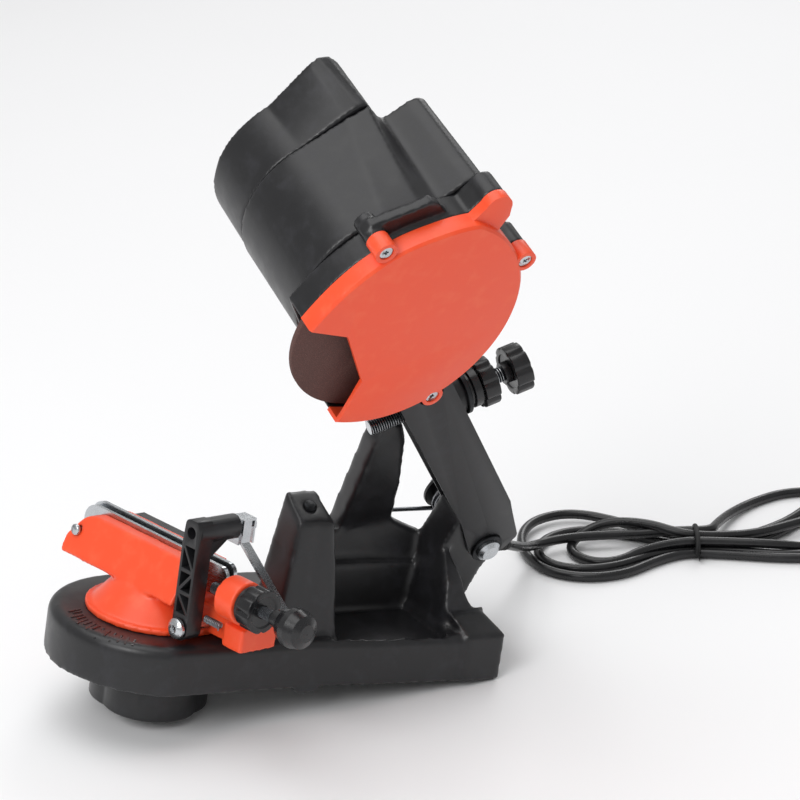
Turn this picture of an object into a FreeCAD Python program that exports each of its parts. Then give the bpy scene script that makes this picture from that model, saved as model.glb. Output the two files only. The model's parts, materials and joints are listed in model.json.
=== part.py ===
import FreeCAD, Part
import math
import os

import Sketcher
from FreeCAD import Placement, Rotation, Vector

# Bench saw-chain sharpener: a cast base, a swivelling chain vise on its round
# end and a tilted grinding head on a sprung arm. Lengths in mm, angles in degrees.

os.makedirs("parts", exist_ok=True)
doc = FreeCAD.newDocument("sharpener")
sheet = doc.addObject("Spreadsheet::Sheet", "Sizes")
values = {}


def size(alias, value):
    """Write one driving dimension to the next row of the sheet."""
    row = len(values) + 1
    sheet.set(f"A{row}", alias.replace("_", " "))
    sheet.set(f"B{row}", str(value))
    sheet.setAlias(f"B{row}", alias)
    values[alias] = float(value)
    return float(value)


# Standing pose: the bench frame has its origin on the turntable axis, level with
# the skirt of the base. The clamp knob under the round end props the nose up.
stand_pitch = size("stand_pitch", 9.68)
stand_lift = size("stand_lift", 28.42)
centre_x = size("centre_x", -73.05)
centre_y = size("centre_y", 38.8)
vise_swivel = size("vise_swivel", 14.0)
head_tilt = size("head_tilt", 26.0)
head_yaw = size("head_yaw", 5.0)
pivot_x = size("pivot_x", 174.7)
pivot_y = size("pivot_y", -14.1)
pivot_z = size("pivot_z", 63.4)

# Base casting
nose_radius = size("nose_radius", 55.5)
deck_height = size("deck_height", 25.0)
deck_round = size("deck_round", 5.0)
skirt_depth = size("skirt_depth", 19.0)
base_near = size("base_near", 61.5)
base_far = size("base_far", 45.0)
foot_start = size("foot_start", 145.8)
foot_end = size("foot_end", 169.0)
foot_near = size("foot_near", 63.4)
pan_depth = size("pan_depth", 4.0)
lip_depth = size("lip_depth", 3.0)
lip_start = size("lip_start", 54.0)
lip_width = size("lip_width", 12.0)
wall_height = size("wall_height", 65.0)
wall_step = size("wall_step", 48.0)
tower_top = size("tower_top", 28.0)
tower_place = size("tower_place", -118.0)
fin_thick = size("fin_thick", 13.0)
fin_face = size("fin_face", -15.0)
fin_top = size("fin_top", 70.0)
ear_thick = size("ear_thick", 20.0)
ear_face = size("ear_face", 8.6)
stud_radius = size("stud_radius", 4.0)
bore_gap = size("bore_gap", 0.05)

# Clamp knob below the base
knob_floor = size("knob_floor", -23.857)
knob_height = size("knob_height", 17.0)
lobe_radius = size("lobe_radius", 24.0)
lobe_place = size("lobe_place", 7.0)
lobe_valley = size("lobe_valley", 5.0)
hub_radius = size("hub_radius", 15.0)
boss_face = size("boss_face", 0.0)

# Pivot hardware and spring
pivot_radius = size("pivot_radius", 4.0)
sleeve_radius = size("sleeve_radius", 6.0)
bolt_head_radius = size("bolt_head_radius", 6.5)
bolt_head_height = size("bolt_head_height", 3.4)
washer_radius = size("washer_radius", 9.0)
washer_thick = size("washer_thick", 1.6)
spring_wire = size("spring_wire", 2.4)
spring_radius = size("spring_radius", 11.0)
spring_start = size("spring_start", -29.0)
spring_turns = size("spring_turns", 4.0)

# Arm
arm_width = size("arm_width", 28.5)
arm_angle = size("arm_angle", 132.9)
plate_thick = size("plate_thick", 2.0)
near_face = size("near_face", 11.0)
far_face = size("far_face", -14.2)
web_offset = size("web_offset", 22.3)

# Depth screw
screw_plane = size("screw_plane", -2.5)
screw_angle = size("screw_angle", 26.2)
tip_x = size("tip_x", -106.9)
tip_y = size("tip_y", 81.5)
screw_radius = size("screw_radius", 4.0)
screw_length = size("screw_length", 80.0)
knob_radius = size("knob_radius", 12.5)
knob_thick = size("knob_thick", 9.0)
nut_thick = size("nut_thick", 8.0)
collar_radius = size("collar_radius", 10.5)
seat_run = size("seat_run", 49.6)

# Grinding head
wheel_x = size("wheel_x", -132.6)
wheel_y = size("wheel_y", 153.6)
wheel_radius = size("wheel_radius", 50.0)
wheel_thick = size("wheel_thick", 3.2)
spindle_radius = size("spindle_radius", 5.0)
guard_x = size("guard_x", -134.6)
guard_y = size("guard_y", 164.3)
guard_radius = size("guard_radius", 63.0)
guard_back = size("guard_back", 3.0)
guard_face = size("guard_face", 13.0)
shell_wall = size("shell_wall", 2.0)
shroud_back = size("shroud_back", -11.0)
boss_radius = size("boss_radius", 5.6)
housing_rear = size("housing_rear", -104.0)
cap_seam = size("cap_seam", -71.0)
motor_cavity = size("motor_cavity", 29.0)
stator_gap = size("stator_gap", 0.08)
rotor_radius = size("rotor_radius", 14.5)
bearing_radius = size("bearing_radius", 11.0)

# Vise
flange_radius = size("flange_radius", 37.7)
flange_thick = size("flange_thick", 3.0)
body_base = size("body_base", 41.0)
body_crest = size("body_crest", 61.8)
body_half = size("body_half", 22.0)
crest_half = size("crest_half", 11.5)
body_far = size("body_far", 55.0)
body_near = size("body_near", -31.0)
rail_top = size("rail_top", 63.6)
rail_thick = size("rail_thick", 2.2)
rail_gap = size("rail_gap", 2.4)
rail_far = size("rail_far", 61.0)
rail_near = size("rail_near", -48.0)
stop_x = size("stop_x", -8.0)
stop_z = size("stop_z", 54.0)
limb_left = size("limb_left", -22.2)
limb_width = size("limb_width", 9.4)
limb_thick = size("limb_thick", 11.0)
limb_back = size("limb_back", -33.5)
limb_foot = size("limb_foot", 33.0)
limb_top = size("limb_top", 82.6)
tube_radius = size("tube_radius", 6.2)
tube_end = size("tube_end", 5.3)
stop_near = size("stop_near", -69.5)

# Mains lead
cord_radius = size("cord_radius", 2.75)
gland_radius = size("gland_radius", 5.4)
hank_radius = size("hank_radius", 8.0)

doc.recompute()

BENCH = Placement(Vector(centre_x, centre_y, stand_lift), Rotation(Vector(0, 1, 0), stand_pitch))
VISE = BENCH * Placement(Vector(), Rotation(Vector(0, 0, 1), vise_swivel))
HEAD_TURN = Rotation(Vector(0, 0, 1), head_yaw) * Rotation(Vector(1, 0, 0), 90 + head_tilt)
HEAD = BENCH * Placement(Vector(pivot_x, pivot_y, pivot_z), HEAD_TURN)
SPINDLE = HEAD * Placement(Vector(wheel_x, wheel_y, 0), Rotation())
WORLD = Placement()


def along_x(x, y, z):
    """A local frame at (x, y, z) whose own Z runs along +X."""
    return Placement(Vector(x, y, z), Rotation(Vector(0, 1, 0), 90))


def along_near(x, y, z):
    """A local frame at (x, y, z) whose own Z runs along -Y, its own X along +X."""
    return Placement(Vector(x, y, z), Rotation(Vector(1, 0, 0), 90))


# ---------------------------------------------------------------- sketch tools
def plane_of(body, role):
    """The origin plane of a body with this role."""
    return next(item for item in body.Origin.OriginFeatures if item.Role == role)


def start_sketch(body, lift, role):
    """An empty sketch on an origin plane of the body, lifted along its normal."""
    sketch = body.newObject("Sketcher::SketchObject", body.Label + "_sketch")
    sketch.AttachmentSupport = (plane_of(body, role), [""])
    sketch.MapMode = "FlatFace"
    sketch.AttachmentOffset = Placement(Vector(0, 0, lift), Rotation())
    return sketch


def corner_arc(before, corner, after, radius):
    """Tangent points and arc of a rounded corner."""
    here = Vector(corner[0], corner[1], 0)
    back = (Vector(before[0], before[1], 0) - here).normalize()
    ahead = (Vector(after[0], after[1], 0) - here).normalize()
    half = back.getAngle(ahead) / 2
    reach = radius / math.tan(half)
    start = here + back * reach
    end = here + ahead * reach
    middle = here + (back + ahead).normalize() * (radius / math.sin(half))
    bulge = middle + (here - middle).normalize() * radius
    return start, bulge, end


def draw_outline(sketch, points):
    """Draw a closed outline. A point (x, y, r) has a corner of radius r."""
    count = len(points)
    corners = []
    for i, point in enumerate(points):
        if len(point) > 2 and point[2] > 0:
            arc = corner_arc(points[i - 1], point, points[(i + 1) % count], point[2])
            corners.append(arc)
        else:
            here = Vector(point[0], point[1], 0)
            corners.append((here, None, here))
    for i, (start, bulge, end) in enumerate(corners):
        if bulge is not None:
            sketch.addGeometry(Part.Arc(start, bulge, end), False)
        following = corners[(i + 1) % count][0]
        if (following - end).Length > 1e-6:
            sketch.addGeometry(Part.LineSegment(end, following), False)


def draw_circle(sketch, x, y, radius, alias=None):
    """Draw a circle. Its radius follows the cell of that alias."""
    where = sketch.addGeometry(Part.Circle(Vector(x, y, 0), Vector(0, 0, 1), radius), False)
    rank = sketch.addConstraint(Sketcher.Constraint("Radius", where, radius))
    if alias:
        sketch.setExpression(f"Constraints[{rank}]", f"Sizes.{alias}")


def new_body(label, frame):
    """A body placed in its frame."""
    body = doc.addObject("PartDesign::Body", label)
    body.Label = label
    body.Placement = frame
    return body


def feature(body, kind, sketch, length, alias=None, downward=False):
    """A pad or pocket from a sketch. Its length follows an expression."""
    item = body.newObject(f"PartDesign::{kind}", f"{body.Label}_{kind.lower()}")
    item.Profile = sketch
    item.Length = length
    if alias:
        item.setExpression("Length", alias)
    item.Reversed = downward
    sketch.Visibility = False
    return item


def pad(body, points, lift, length, alias=None, circle=None, role="XY_Plane"):
    """Pad an outline, or a circle (x, y, r, alias), up from the plane at lift."""
    sketch = start_sketch(body, lift, role)
    if points:
        draw_outline(sketch, points)
    if circle:
        draw_circle(sketch, *circle)
    return feature(body, "Pad", sketch, length, alias)


def pocket(body, points, lift, length, alias=None, circles=(), role="XY_Plane"):
    """Cut an outline and circles down from the plane at lift."""
    sketch = start_sketch(body, lift, role)
    if points:
        draw_outline(sketch, points)
    for circle in circles:
        draw_circle(sketch, *circle)
    return feature(body, "Pocket", sketch, length, alias)


def loft(body, kind, sections, role="XY_Plane"):
    """Loft through (lift, points) sections of the same number of corners."""
    sketches = []
    for lift, points in sections:
        sketch = start_sketch(body, lift, role)
        draw_outline(sketch, points)
        sketch.Visibility = False
        sketches.append(sketch)
    item = body.newObject(f"PartDesign::{kind}", f"{body.Label}_{kind.lower()}")
    item.Profile = sketches[0]
    item.Sections = sketches[1:]
    item.Ruled = True
    return item


def revolve(body, points, role="XZ_Plane"):
    """Turn a half section in the body's XZ plane about the body's Z axis."""
    sketch = start_sketch(body, 0, role)
    draw_outline(sketch, points)
    item = body.newObject("PartDesign::Revolution", f"{body.Label}_turn")
    item.Profile = sketch
    item.ReferenceAxis = (sketch, ["V_Axis"])
    item.Angle = 360.0
    sketch.Visibility = False
    return item


def edges_of(shape, test):
    """Names of the edges whose middle point passes the test."""
    names = []
    for i, edge in enumerate(shape.Edges):
        middle = edge.valueAt((edge.FirstParameter + edge.LastParameter) / 2)
        if test(edge, middle):
            names.append(f"Edge{i + 1}")
    return names


def dress(body, kind, amount, test):
    """Fillet or chamfer the edges of the tip that pass the test."""
    doc.recompute()
    tip = body.Tip
    local = tip.Shape.copy()
    local.Placement = Placement()
    names = edges_of(local, test)
    item = body.newObject(f"PartDesign::{kind}", f"{body.Label}_{kind.lower()}")
    item.Base = (tip, names)
    if kind == "Fillet":
        item.Radius = amount
    else:
        item.Size = amount
    return item


def turned(label, frame, points):
    """A turned part from its half section."""
    body = new_body(label, frame)
    revolve(body, points)
    return body


def ring_section(inner, outer, start, end, ease=0.0):
    """Half section of a ring, its two outer corners eased."""
    if ease:
        return [(inner, start), (outer - ease, start), (outer, start + ease),
                (outer, end - ease), (outer - ease, end), (inner, end)]
    return [(inner, start), (outer, start), (outer, end), (inner, end)]


def solid(label, shape, frame):
    """A sub-part whose shape no feature above can give."""
    item = doc.addObject("Part::Feature", label)
    item.Label = label
    item.Shape = shape
    item.Placement = frame * shape.Placement
    return item


def group(label, shapes, frame):
    """Identical fasteners as separate solids in one node."""
    return solid(label, Part.makeCompound(shapes), frame)


def lead_tube(points, radius):
    """A cable of straight runs joined by tangent arcs."""
    edges = []
    last = points[0]
    for before, corner, after in zip(points, points[1:], points[2:]):
        back = before - corner
        ahead = after - corner
        reach = 0.45 * min(back.Length, ahead.Length)
        back = back.normalize()
        ahead = ahead.normalize()
        start = corner + back * reach
        end = corner + ahead * reach
        half = back.getAngle(ahead) / 2
        middle = corner + (back + ahead).normalize() * (reach / math.cos(half))
        bulge = middle + (corner - middle).normalize() * (reach * math.tan(half))
        edges.append(Part.LineSegment(last, start).toShape())
        edges.append(Part.Arc(start, bulge, end).toShape())
        last = end
    edges.append(Part.LineSegment(last, points[-1]).toShape())
    spine = Part.Wire(edges)
    section = Part.Wire(Part.makeCircle(radius, points[0], points[1] - points[0]))
    tube = spine.makePipeShell([section], True, True)
    ideal = math.pi * radius ** 2 * spine.Length
    if abs(tube.Volume - ideal) > 0.02 * ideal:
        print("FAULT cable volume", tube.Volume, "expected", ideal)
    return tube


def coil_wire(radius, wire, start, pitch, turns, lead, tail):
    """A coil about Z that runs on into a straight lead and tail of these lengths."""
    helix = Part.makeHelix(pitch, pitch * turns, radius)
    helix.translate(Vector(0, 0, start))
    slope = math.atan(pitch / (2 * math.pi * radius))
    turn = 2 * math.pi * turns
    first = Vector(radius, 0, start)
    last = Vector(radius * math.cos(turn), radius * math.sin(turn), start + pitch * turns)
    way_in = Vector(0, math.cos(slope), math.sin(slope))
    way_out = Vector(-math.sin(turn) * math.cos(slope), math.cos(turn) * math.cos(slope),
                     math.sin(slope))
    edges = [Part.makeLine(first - way_in * lead, first)] + helix.Edges
    edges.append(Part.makeLine(last, last + way_out * tail))
    spine = Part.Wire(Part.__sortEdges__(edges))
    section = Part.Wire(Part.makeCircle(wire / 2, first - way_in * lead, way_in))
    return spine.makePipeShell([section], True, True)


def lobed_face(lobes, place, lobe, valley, phase=0.0):
    """Face of a hand knob: round lobes joined by hollow arcs, smooth all the way."""
    step = math.pi / lobes
    reach = place * math.cos(step) + math.sqrt((lobe + valley) ** 2
                                               - (place * math.sin(step)) ** 2)

    def at(distance, turn):
        return Vector(distance * math.cos(turn), distance * math.sin(turn), 0)

    edges = []
    for i in range(lobes):
        turn = math.radians(phase) + 2 * step * i
        middle = at(place, turn)
        before = at(reach, turn - step)
        after = at(reach, turn + step)
        start = middle + (before - middle).normalize() * lobe
        end = middle + (after - middle).normalize() * lobe
        edges.append(Part.Arc(start, at(place + lobe, turn), end).toShape())
        following = at(place, turn + 2 * step)
        far_end = following + (after - following).normalize() * lobe
        edges.append(Part.Arc(end, at(reach - valley, turn + step), far_end).toShape())
    return Part.Face(Part.Wire(edges))


# ------------------------------------------------------------------------ base
LEAD = [(120.9, 30.4, 51.8), (150.5, 49.5, 35.0), (174.5, 76.0, 19.0), (188.6, 97.5, 8.5)]
HANK = [(182, 68), (186, 93), (198, 114), (216, 131), (240, 130), (262, 111), (277, 88),
        (293, 72), (322, 84), (352, 93), (378, 90), (394, 70), (396, 42), (380, 18), (350, 2),
        (318, 6), (289, 26), (262, 43), (232, 42), (203, 47)]


def make_base():
    """The cast base: round deck, skirt, pan, back wall, stop tower, fin and pivot ear."""
    plan = new_body("base_plan", WORLD)
    nose_run = math.sqrt(nose_radius ** 2 - 52.4 ** 2)
    far_run = math.sqrt(nose_radius ** 2 - 50.5 ** 2)
    sketch = start_sketch(plan, 0, "XY_Plane")
    rim = [(-nose_run, -52.4), (64, -53.5), (108, -58.5), (foot_start, -base_near),
           (foot_start, -foot_near), (foot_end, -foot_near), (foot_end, base_far),
           (100, base_far + 1), (far_run, 50.5)]
    for (ax, ay), (bx, by) in zip(rim, rim[1:]):
        sketch.addGeometry(Part.LineSegment(Vector(ax, ay, 0), Vector(bx, by, 0)), False)
    sketch.addGeometry(Part.Arc(Vector(far_run, 50.5, 0), Vector(-nose_radius, 0, 0),
                                Vector(-nose_run, -52.4, 0)), False)
    feature(plan, "Pad", sketch, deck_height, "Sizes.deck_height")
    dress(plan, "Fillet", deck_round,
          lambda edge, at: abs(at.z - deck_height) < 0.1 and (at.x < 50 or at.y > base_far - 1))
    pad(plan, [(lip_start, -53.2), (lip_start + lip_width, -53.6),
               (lip_start + lip_width, 46), (lip_start, 46)],
        -lip_depth, lip_depth + 1)
    pocket(plan, [(72, -50.5), (108, -55.2), (136, -57.5), (139, -47), (139, -5), (72, -5)],
           deck_height, pan_depth, "Sizes.pan_depth")
    hollow = start_sketch(plan, skirt_depth, "XY_Plane")
    draw_outline(hollow, [(-33, -36, 20), (-8, -47.5, 8), (48, -48, 4), (48, 42, 4), (10, 46, 12),
                          (-30, 36, 20), (-51, 8, 14), (-51, -12, 14)])
    draw_circle(hollow, 0, 0, hub_radius + 3)
    feature(plan, "Pocket", hollow, skirt_depth, "Sizes.skirt_depth")
    bay = start_sketch(plan, skirt_depth - 2, "XY_Plane")
    draw_outline(bay, [(72, -49.5, 4), (108, -54.3, 4), (140, -57, 4), (140, 40, 4), (72, 40, 4)])
    feature(plan, "Pocket", bay, skirt_depth, "Sizes.skirt_depth")
    pocket(plan, None, deck_height + 1, 60, None,
           [(0, 0, stud_radius + 0.3, None)])

    wall = new_body("base_wall", WORLD)
    pad(wall, [(70, deck_height - 6), (152, deck_height - 6), (152, wall_height - 6),
               (118, wall_height + 8, 9), (108, wall_height), (70, wall_height)],
        -8, 13, None, None, "XZ_Plane")
    pad(wall, [(70, deck_height - 6), (150, deck_height - 6), (150, wall_step - 2),
               (112, wall_step, 8), (70, wall_step)],
        -6, 15, None, None, "XZ_Plane")

    tower = new_body("base_tower", WORLD)
    loft(tower, "AdditiveLoft", [
        (deck_height - 5, [(40.5, -47), (78, -47), (78, -4), (41.5, -15)]),
        (100, [(49.2, -44), (66.5, -44), (66.5, -24), (49.2, -24)])])
    trim = Part.makeBox(120, 60, 120, Vector(tower_place - 60, tower_top, -60))
    trim.Placement = Placement(Vector(pivot_x, pivot_y, pivot_z), HEAD_TURN)
    groove = Part.makeCylinder(4.6, 90, Vector(58.0, -51.0, 26), Vector(1.5, 2.6, 60))

    fin = new_body("base_fin", WORLD)
    fin.Placement = Placement(Vector(pivot_x, pivot_y, pivot_z), HEAD_TURN)
    pad(fin, [(-75, -30), (-84, 57, 6), (-78, fin_top), (-73, fin_top), (-64.5, 57.5, 3),
              (-54, 29, 12), (-47, 4), (-44, -30)],
        fin_face - fin_thick, fin_thick, "Sizes.fin_thick")

    gusset = new_body("base_gusset", WORLD)
    gusset.Placement = fin.Placement
    pad(gusset, [(-72, -40), (-71, 2), (-64, 13.5, 4), (-56, 9.5), (-27, -20.6, 30),
                 (-7, -43.5, 20), (-1, -54), (28, -62), (20, -88), (-60, -60)],
        -26, 11.3)

    ear = new_body("base_ear", WORLD)
    ear.Placement = fin.Placement
    pad(ear, [(-26.8, 20.7, 1.5), (-14, 21.5, 4), (9, 12.5, 8), (12, -2), (8, -20), (8, -52),
              (-26, -52), (-29, -10)],
        ear_face - ear_thick, ear_thick, "Sizes.ear_thick")

    post = new_body("base_post", WORLD)
    loft(post, "AdditiveLoft", [
        (deck_height - 5, [(140, -50), (163, -50), (163, 4), (140, 4)]),
        (47, [(143.5, -40), (168, -40), (168, 4), (143.5, 4)]),
        (61, [(149, -24), (171, -24), (171, -4), (149, -4)])])
    flare = new_body("base_flare", WORLD)
    loft(flare, "AdditiveLoft", [
        (deck_height, [(foot_start, -foot_near), (foot_end, -foot_near), (foot_end, 6),
                       (foot_start, 6)]),
        (33, [(141, -49), (162.5, -49), (162.5, 4), (141, 4)])])
    doc.recompute()

    parts = [plan, wall, tower, fin, gusset, ear, post, flare]
    shapes = []
    for body in parts:
        shape = body.Shape.copy()
        shapes.append(shape)
    shapes[2] = shapes[2].cut(trim).cut(groove)
    below = Part.makeBox(400, 400, 200, Vector(-100, -200, deck_height - 5 - 200))
    shapes = shapes[:1] + [shape.cut(below) for shape in shapes[1:]]
    base = shapes[0]
    for shape in shapes[1:]:
        base = base.fuse(shape)
    place = Placement(Vector(pivot_x, pivot_y, pivot_z), HEAD_TURN)
    bore = Part.makeCylinder(sleeve_radius + 0.1, 60, Vector(0, 0, -30))
    bore.Placement = place
    clear = Part.makeCylinder(14.5, 26, Vector(0, 0, ear_face - ear_thick - 26))
    clear.Placement = place
    seat = Part.makeCylinder(3.0, 8, Vector(-75.5, fin_top - 5, fin_face - fin_thick / 2),
                             Vector(0, 1, 0))
    seat.Placement = place * seat.Placement
    screw_seat = Part.makeCylinder(2.1, 9, Vector(tower_place, tower_top - 8.9, -2.5),
                                   Vector(0, 1, 0))
    screw_seat.Placement = place * screw_seat.Placement
    way = Vector(*LEAD[1]) - Vector(*LEAD[0])
    gland = Part.makeCylinder(gland_radius + 0.05, 40, Vector(*LEAD[0]) - way.normalize() * 6.5,
                              way)
    gland.Placement = BENCH.inverse() * gland.Placement
    swing = Part.makeCylinder(24, 30, Vector(0, 0, ear_face + 0.1))
    swing.Placement = place
    slot = Part.makeCylinder(30, far_face + plate_thick + 0.3 - far_face + 0.3,
                             Vector(0, 0, far_face - 0.3))
    slot.Placement = place
    for tool in (bore, clear, seat, screw_seat, swing, slot, gland):
        base = base.cut(tool)
    base = base.removeSplitter()
    for body in parts:
        doc.removeObject(body.Name)
    return solid("base_frame", base, BENCH)


def make_base_hardware():
    """Clamp stud, washer and knob under the deck; stop pad and tower screw."""
    turned("clamp_stud", BENCH,
           [(0, knob_floor + 3), (stud_radius, knob_floor + 3), (stud_radius, deck_height + 14),
            (0, deck_height + 14)])
    turned("clamp_washer", BENCH,
           ring_section(stud_radius + 0.1, 14.0, boss_face - washer_thick, boss_face - 0.02))
    lobes = lobed_face(3, lobe_place, lobe_radius, lobe_valley, 5.0)
    grip = lobes.extrude(Vector(0, 0, knob_height))
    grip.translate(Vector(0, 0, knob_floor))
    rim = [edge for edge in grip.Edges
           if abs(edge.BoundBox.ZMax - edge.BoundBox.ZMin) < 0.01]
    grip = grip.makeFillet(2.0, rim)
    hub_base = knob_floor + knob_height - 2
    hub_face = boss_face - washer_thick - 0.02
    hub = Part.makeCylinder(hub_radius - 2, hub_face - hub_base, Vector(0, 0, hub_base))
    bore = Part.makeCylinder(stud_radius + 0.05, 60, Vector(0, 0, knob_floor - 1))
    solid("clamp_knob", grip.fuse(hub).cut(bore).removeSplitter(), BENCH)
    pad_frame = HEAD * Placement(Vector(-75.5, fin_top - 5, fin_face - fin_thick / 2),
                                 Rotation(Vector(1, 0, 0), -90))
    turned("arm_rest_pad", pad_frame,
           [(0, 0), (2.98, 0), (2.98, 5.0), (4.6, 5.0), (4.6, 7.5), (3.2, 9.0), (0, 9.0)])
    screw_frame = HEAD * Placement(Vector(tower_place, tower_top, -2.5),
                                   Rotation(Vector(1, 0, 0), -90))
    turned("stop_tower_screw", screw_frame,
           [(0, -8), (2.05, -8), (2.05, 0), (3.6, 0), (3.4, 1.0), (2.2, 1.8), (0, 2.0)])


# ----------------------------------------------------------------------- pivot
def make_pivot():
    """Bolt, sleeve, washers, nut and spring on the arm's pivot axis."""
    outer = near_face + washer_thick
    inner_end = spring_start - 5
    turned("pivot_bolt", HEAD,
           [(0, inner_end - 6), (pivot_radius, inner_end - 6), (pivot_radius, outer),
            (bolt_head_radius, outer), (bolt_head_radius, outer + 1.6),
            (bolt_head_radius - 2, outer + bolt_head_height), (0, outer + bolt_head_height)])
    turned("pivot_washer", HEAD,
           ring_section(pivot_radius + 0.06, washer_radius, near_face, outer, 0.3))
    turned("pivot_sleeve", HEAD,
           ring_section(pivot_radius + 0.05, sleeve_radius, far_face + plate_thick + 0.1,
                        near_face - plate_thick - 0.1))
    bush_bore = pivot_radius + 0.06
    turned("spring_bush", HEAD,
           [(bush_bore, inner_end), (13.4, inner_end), (13.4, inner_end + washer_thick),
            (8.2, inner_end + washer_thick), (8.2, far_face - 0.2), (bush_bore, far_face - 0.2)])
    nut = Part.Face(Part.makePolygon(
        [Vector(7.5 * math.cos(math.radians(60 * i)), 7.5 * math.sin(math.radians(60 * i)), 0)
         for i in range(7)])).extrude(Vector(0, 0, 5))
    nut = nut.cut(Part.makeCylinder(pivot_radius, 8, Vector(0, 0, -1)))
    nut.translate(Vector(0, 0, inner_end - 5))
    solid("pivot_nut", nut, HEAD)
    turns = spring_turns + 0.415
    pitch = (far_face - 2.4 - spring_start) / turns
    spin = Rotation(Vector(0, 0, 1), -90.6)
    coil = coil_wire(spring_radius, spring_wire, spring_start, pitch, turns, 37.0, 30.0)
    solid("arm_spring", coil, HEAD * Placement(Vector(), spin))


# ------------------------------------------------------------------------- arm
BOSSES = [(-165.6, 209.6), (-81.3, 202.7), (-93.5, 116.0)]


def arm_edge(side, run):
    """Point on the arm's left (-1) or right (+1) edge, run mm up from the pivot."""
    turn = math.radians(arm_angle)
    along = Vector(math.cos(turn), math.sin(turn), 0)
    across = Vector(math.sin(turn), -math.cos(turn), 0)
    offset = web_offset if side > 0 else web_offset - arm_width
    return across * offset + along * run


def arm_outline(inset):
    """Outline of the arm's side plates; the top follows the guard's circle."""
    low_left = arm_edge(-1, 30)
    low_right = arm_edge(1, 26)
    return [(low_left.x + inset, low_left.y), (-9 + inset, -4.5, 4), (3, -10.5, 8),
            (13.5 - inset, -1.5, 5), (17.5 - inset, 7, 4), (4.5 - inset, 25.5, 10),
            (low_right.x - inset, low_right.y)]


def make_arm():
    """U-channel arm: two side plates, a back web and a saddle against the housing."""
    reach = 172.0
    top_left = arm_edge(-1, reach)
    top_right = arm_edge(1, reach)
    outline = [(top_left.x, top_left.y)] + arm_outline(0) + [(top_right.x, top_right.y)]
    body = new_body("arm_blank", WORLD)
    pad(body, outline, far_face, near_face - far_face)
    doc.recompute()
    blank = body.Shape.copy()
    doc.removeObject(body.Name)
    inner = new_body("arm_inner", WORLD)
    cut_left = arm_edge(-1, reach + 30)
    cut_right = arm_edge(1, reach + 30)
    across = Vector(math.sin(math.radians(arm_angle)), -math.cos(math.radians(arm_angle)), 0)
    web_in = across * -plate_thick
    low_in = arm_edge(1, 24) + web_in
    pad(inner, [(cut_left.x - 30, cut_left.y - 30), (-60, -30), (40, -30), (30, -2),
                (low_in.x + 14, low_in.y - 14), (low_in.x, low_in.y),
                (cut_right.x + web_in.x, cut_right.y + web_in.y)],
        far_face + plate_thick, near_face - far_face - 2 * plate_thick)
    doc.recompute()
    shape = blank.cut(inner.Shape)
    doc.removeObject(inner.Name)
    guard_room = Part.makeCylinder(guard_radius + 1.3, 40,
                                   Vector(guard_x, guard_y, shroud_back - 1.0))
    motor_room = Part.makeCylinder(guard_radius - 5.0, 40,
                                   Vector(guard_x, guard_y, shroud_back - 30))
    boss = Part.makeCylinder(boss_radius + 1.2, 40, Vector(BOSSES[2][0], BOSSES[2][1], -9))
    pin_hole = Part.makeCylinder(pivot_radius + 0.06, 60, Vector(0, 0, -30))
    turn = math.radians(screw_angle)
    way = Vector(math.cos(turn), math.sin(turn), 0)
    axis_at = Vector(tip_x, tip_y, screw_plane)
    screw_hole = Part.makeCylinder(screw_radius + 0.3, 60, axis_at + way * 30, way)
    seat = Part.makeCylinder(10.4, seat_run - 41, axis_at + way * 41, way)
    spot = Part.makeCylinder(12.4, 30, axis_at + way * seat_run, way)
    shape = shape.fuse(seat)
    for tool in (guard_room, motor_room, boss, pin_hole, screw_hole, spot):
        shape = shape.cut(tool)
    for at in arm_screw_places():
        shape = shape.cut(Part.makeCylinder(2.1, 5, Vector(at.x, at.y, far_face - 1)))
    shape = max(shape.Solids, key=lambda part: part.Volume)
    solid("arm", shape.removeSplitter(), HEAD)


def screw_frame(run):
    """Frame on the depth screw's axis, run mm from its tip, own Z along the screw."""
    turn = math.radians(screw_angle)
    way = Vector(math.cos(turn), math.sin(turn), 0)
    at = Vector(tip_x, tip_y, screw_plane) + way * run
    return HEAD * Placement(at, Rotation(Vector(0, 0, 1), way))


def knob_blank(radius, thick, lobes, bore):
    """A small lobed hand knob with a bore, standing on its own XY plane."""
    lobe = radius * 0.3
    face = lobed_face(lobes, radius - lobe, lobe, radius * 0.35)
    knob = face.extrude(Vector(0, 0, thick))
    rim = [edge for edge in knob.Edges
           if abs(edge.BoundBox.ZMax - edge.BoundBox.ZMin) < 0.01]
    knob = knob.makeFillet(0.8, rim)
    if bore:
        knob = knob.cut(Part.makeCylinder(bore, thick + 2, Vector(0, 0, -1)))
    return knob


def make_depth_screw():
    """Depth screw with its threaded seat, collar, lock nut and hand knob."""
    seat_at = seat_run + 0.02
    turned("depth_screw", screw_frame(0),
           [(0, 0), (screw_radius - 1.2, 0), (screw_radius - 0.02, 1.2),
            (screw_radius - 0.02, screw_length), (0, screw_length)])
    seat_bore = screw_radius + 0.05
    turned("depth_screw_washer", screw_frame(seat_at),
           ring_section(seat_bore, 12.0, 0, 2.6, 0.4))
    turned("depth_screw_collar", screw_frame(seat_at + 2.62),
           [(seat_bore, 0), (9.0, 0), (9.0, 2.0), (collar_radius, 2.6), (collar_radius, 6.4),
            (8.6, 7.2), (seat_bore, 7.2)])
    nut = knob_blank(knob_radius, nut_thick, 7, screw_radius + 0.05)
    solid("depth_lock_nut", nut, screw_frame(seat_at + 9.9))
    knob = knob_blank(knob_radius, knob_thick, 7, 0)
    knob = knob.fuse(Part.makeCylinder(5.5, 4, Vector(0, 0, -3.5)))
    socket = Part.makeCylinder(screw_radius - 0.02 + bore_gap, 7, Vector(0, 0, -4))
    knob = knob.cut(socket).removeSplitter()
    solid("depth_knob", knob, screw_frame(screw_length - 2.9))


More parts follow.
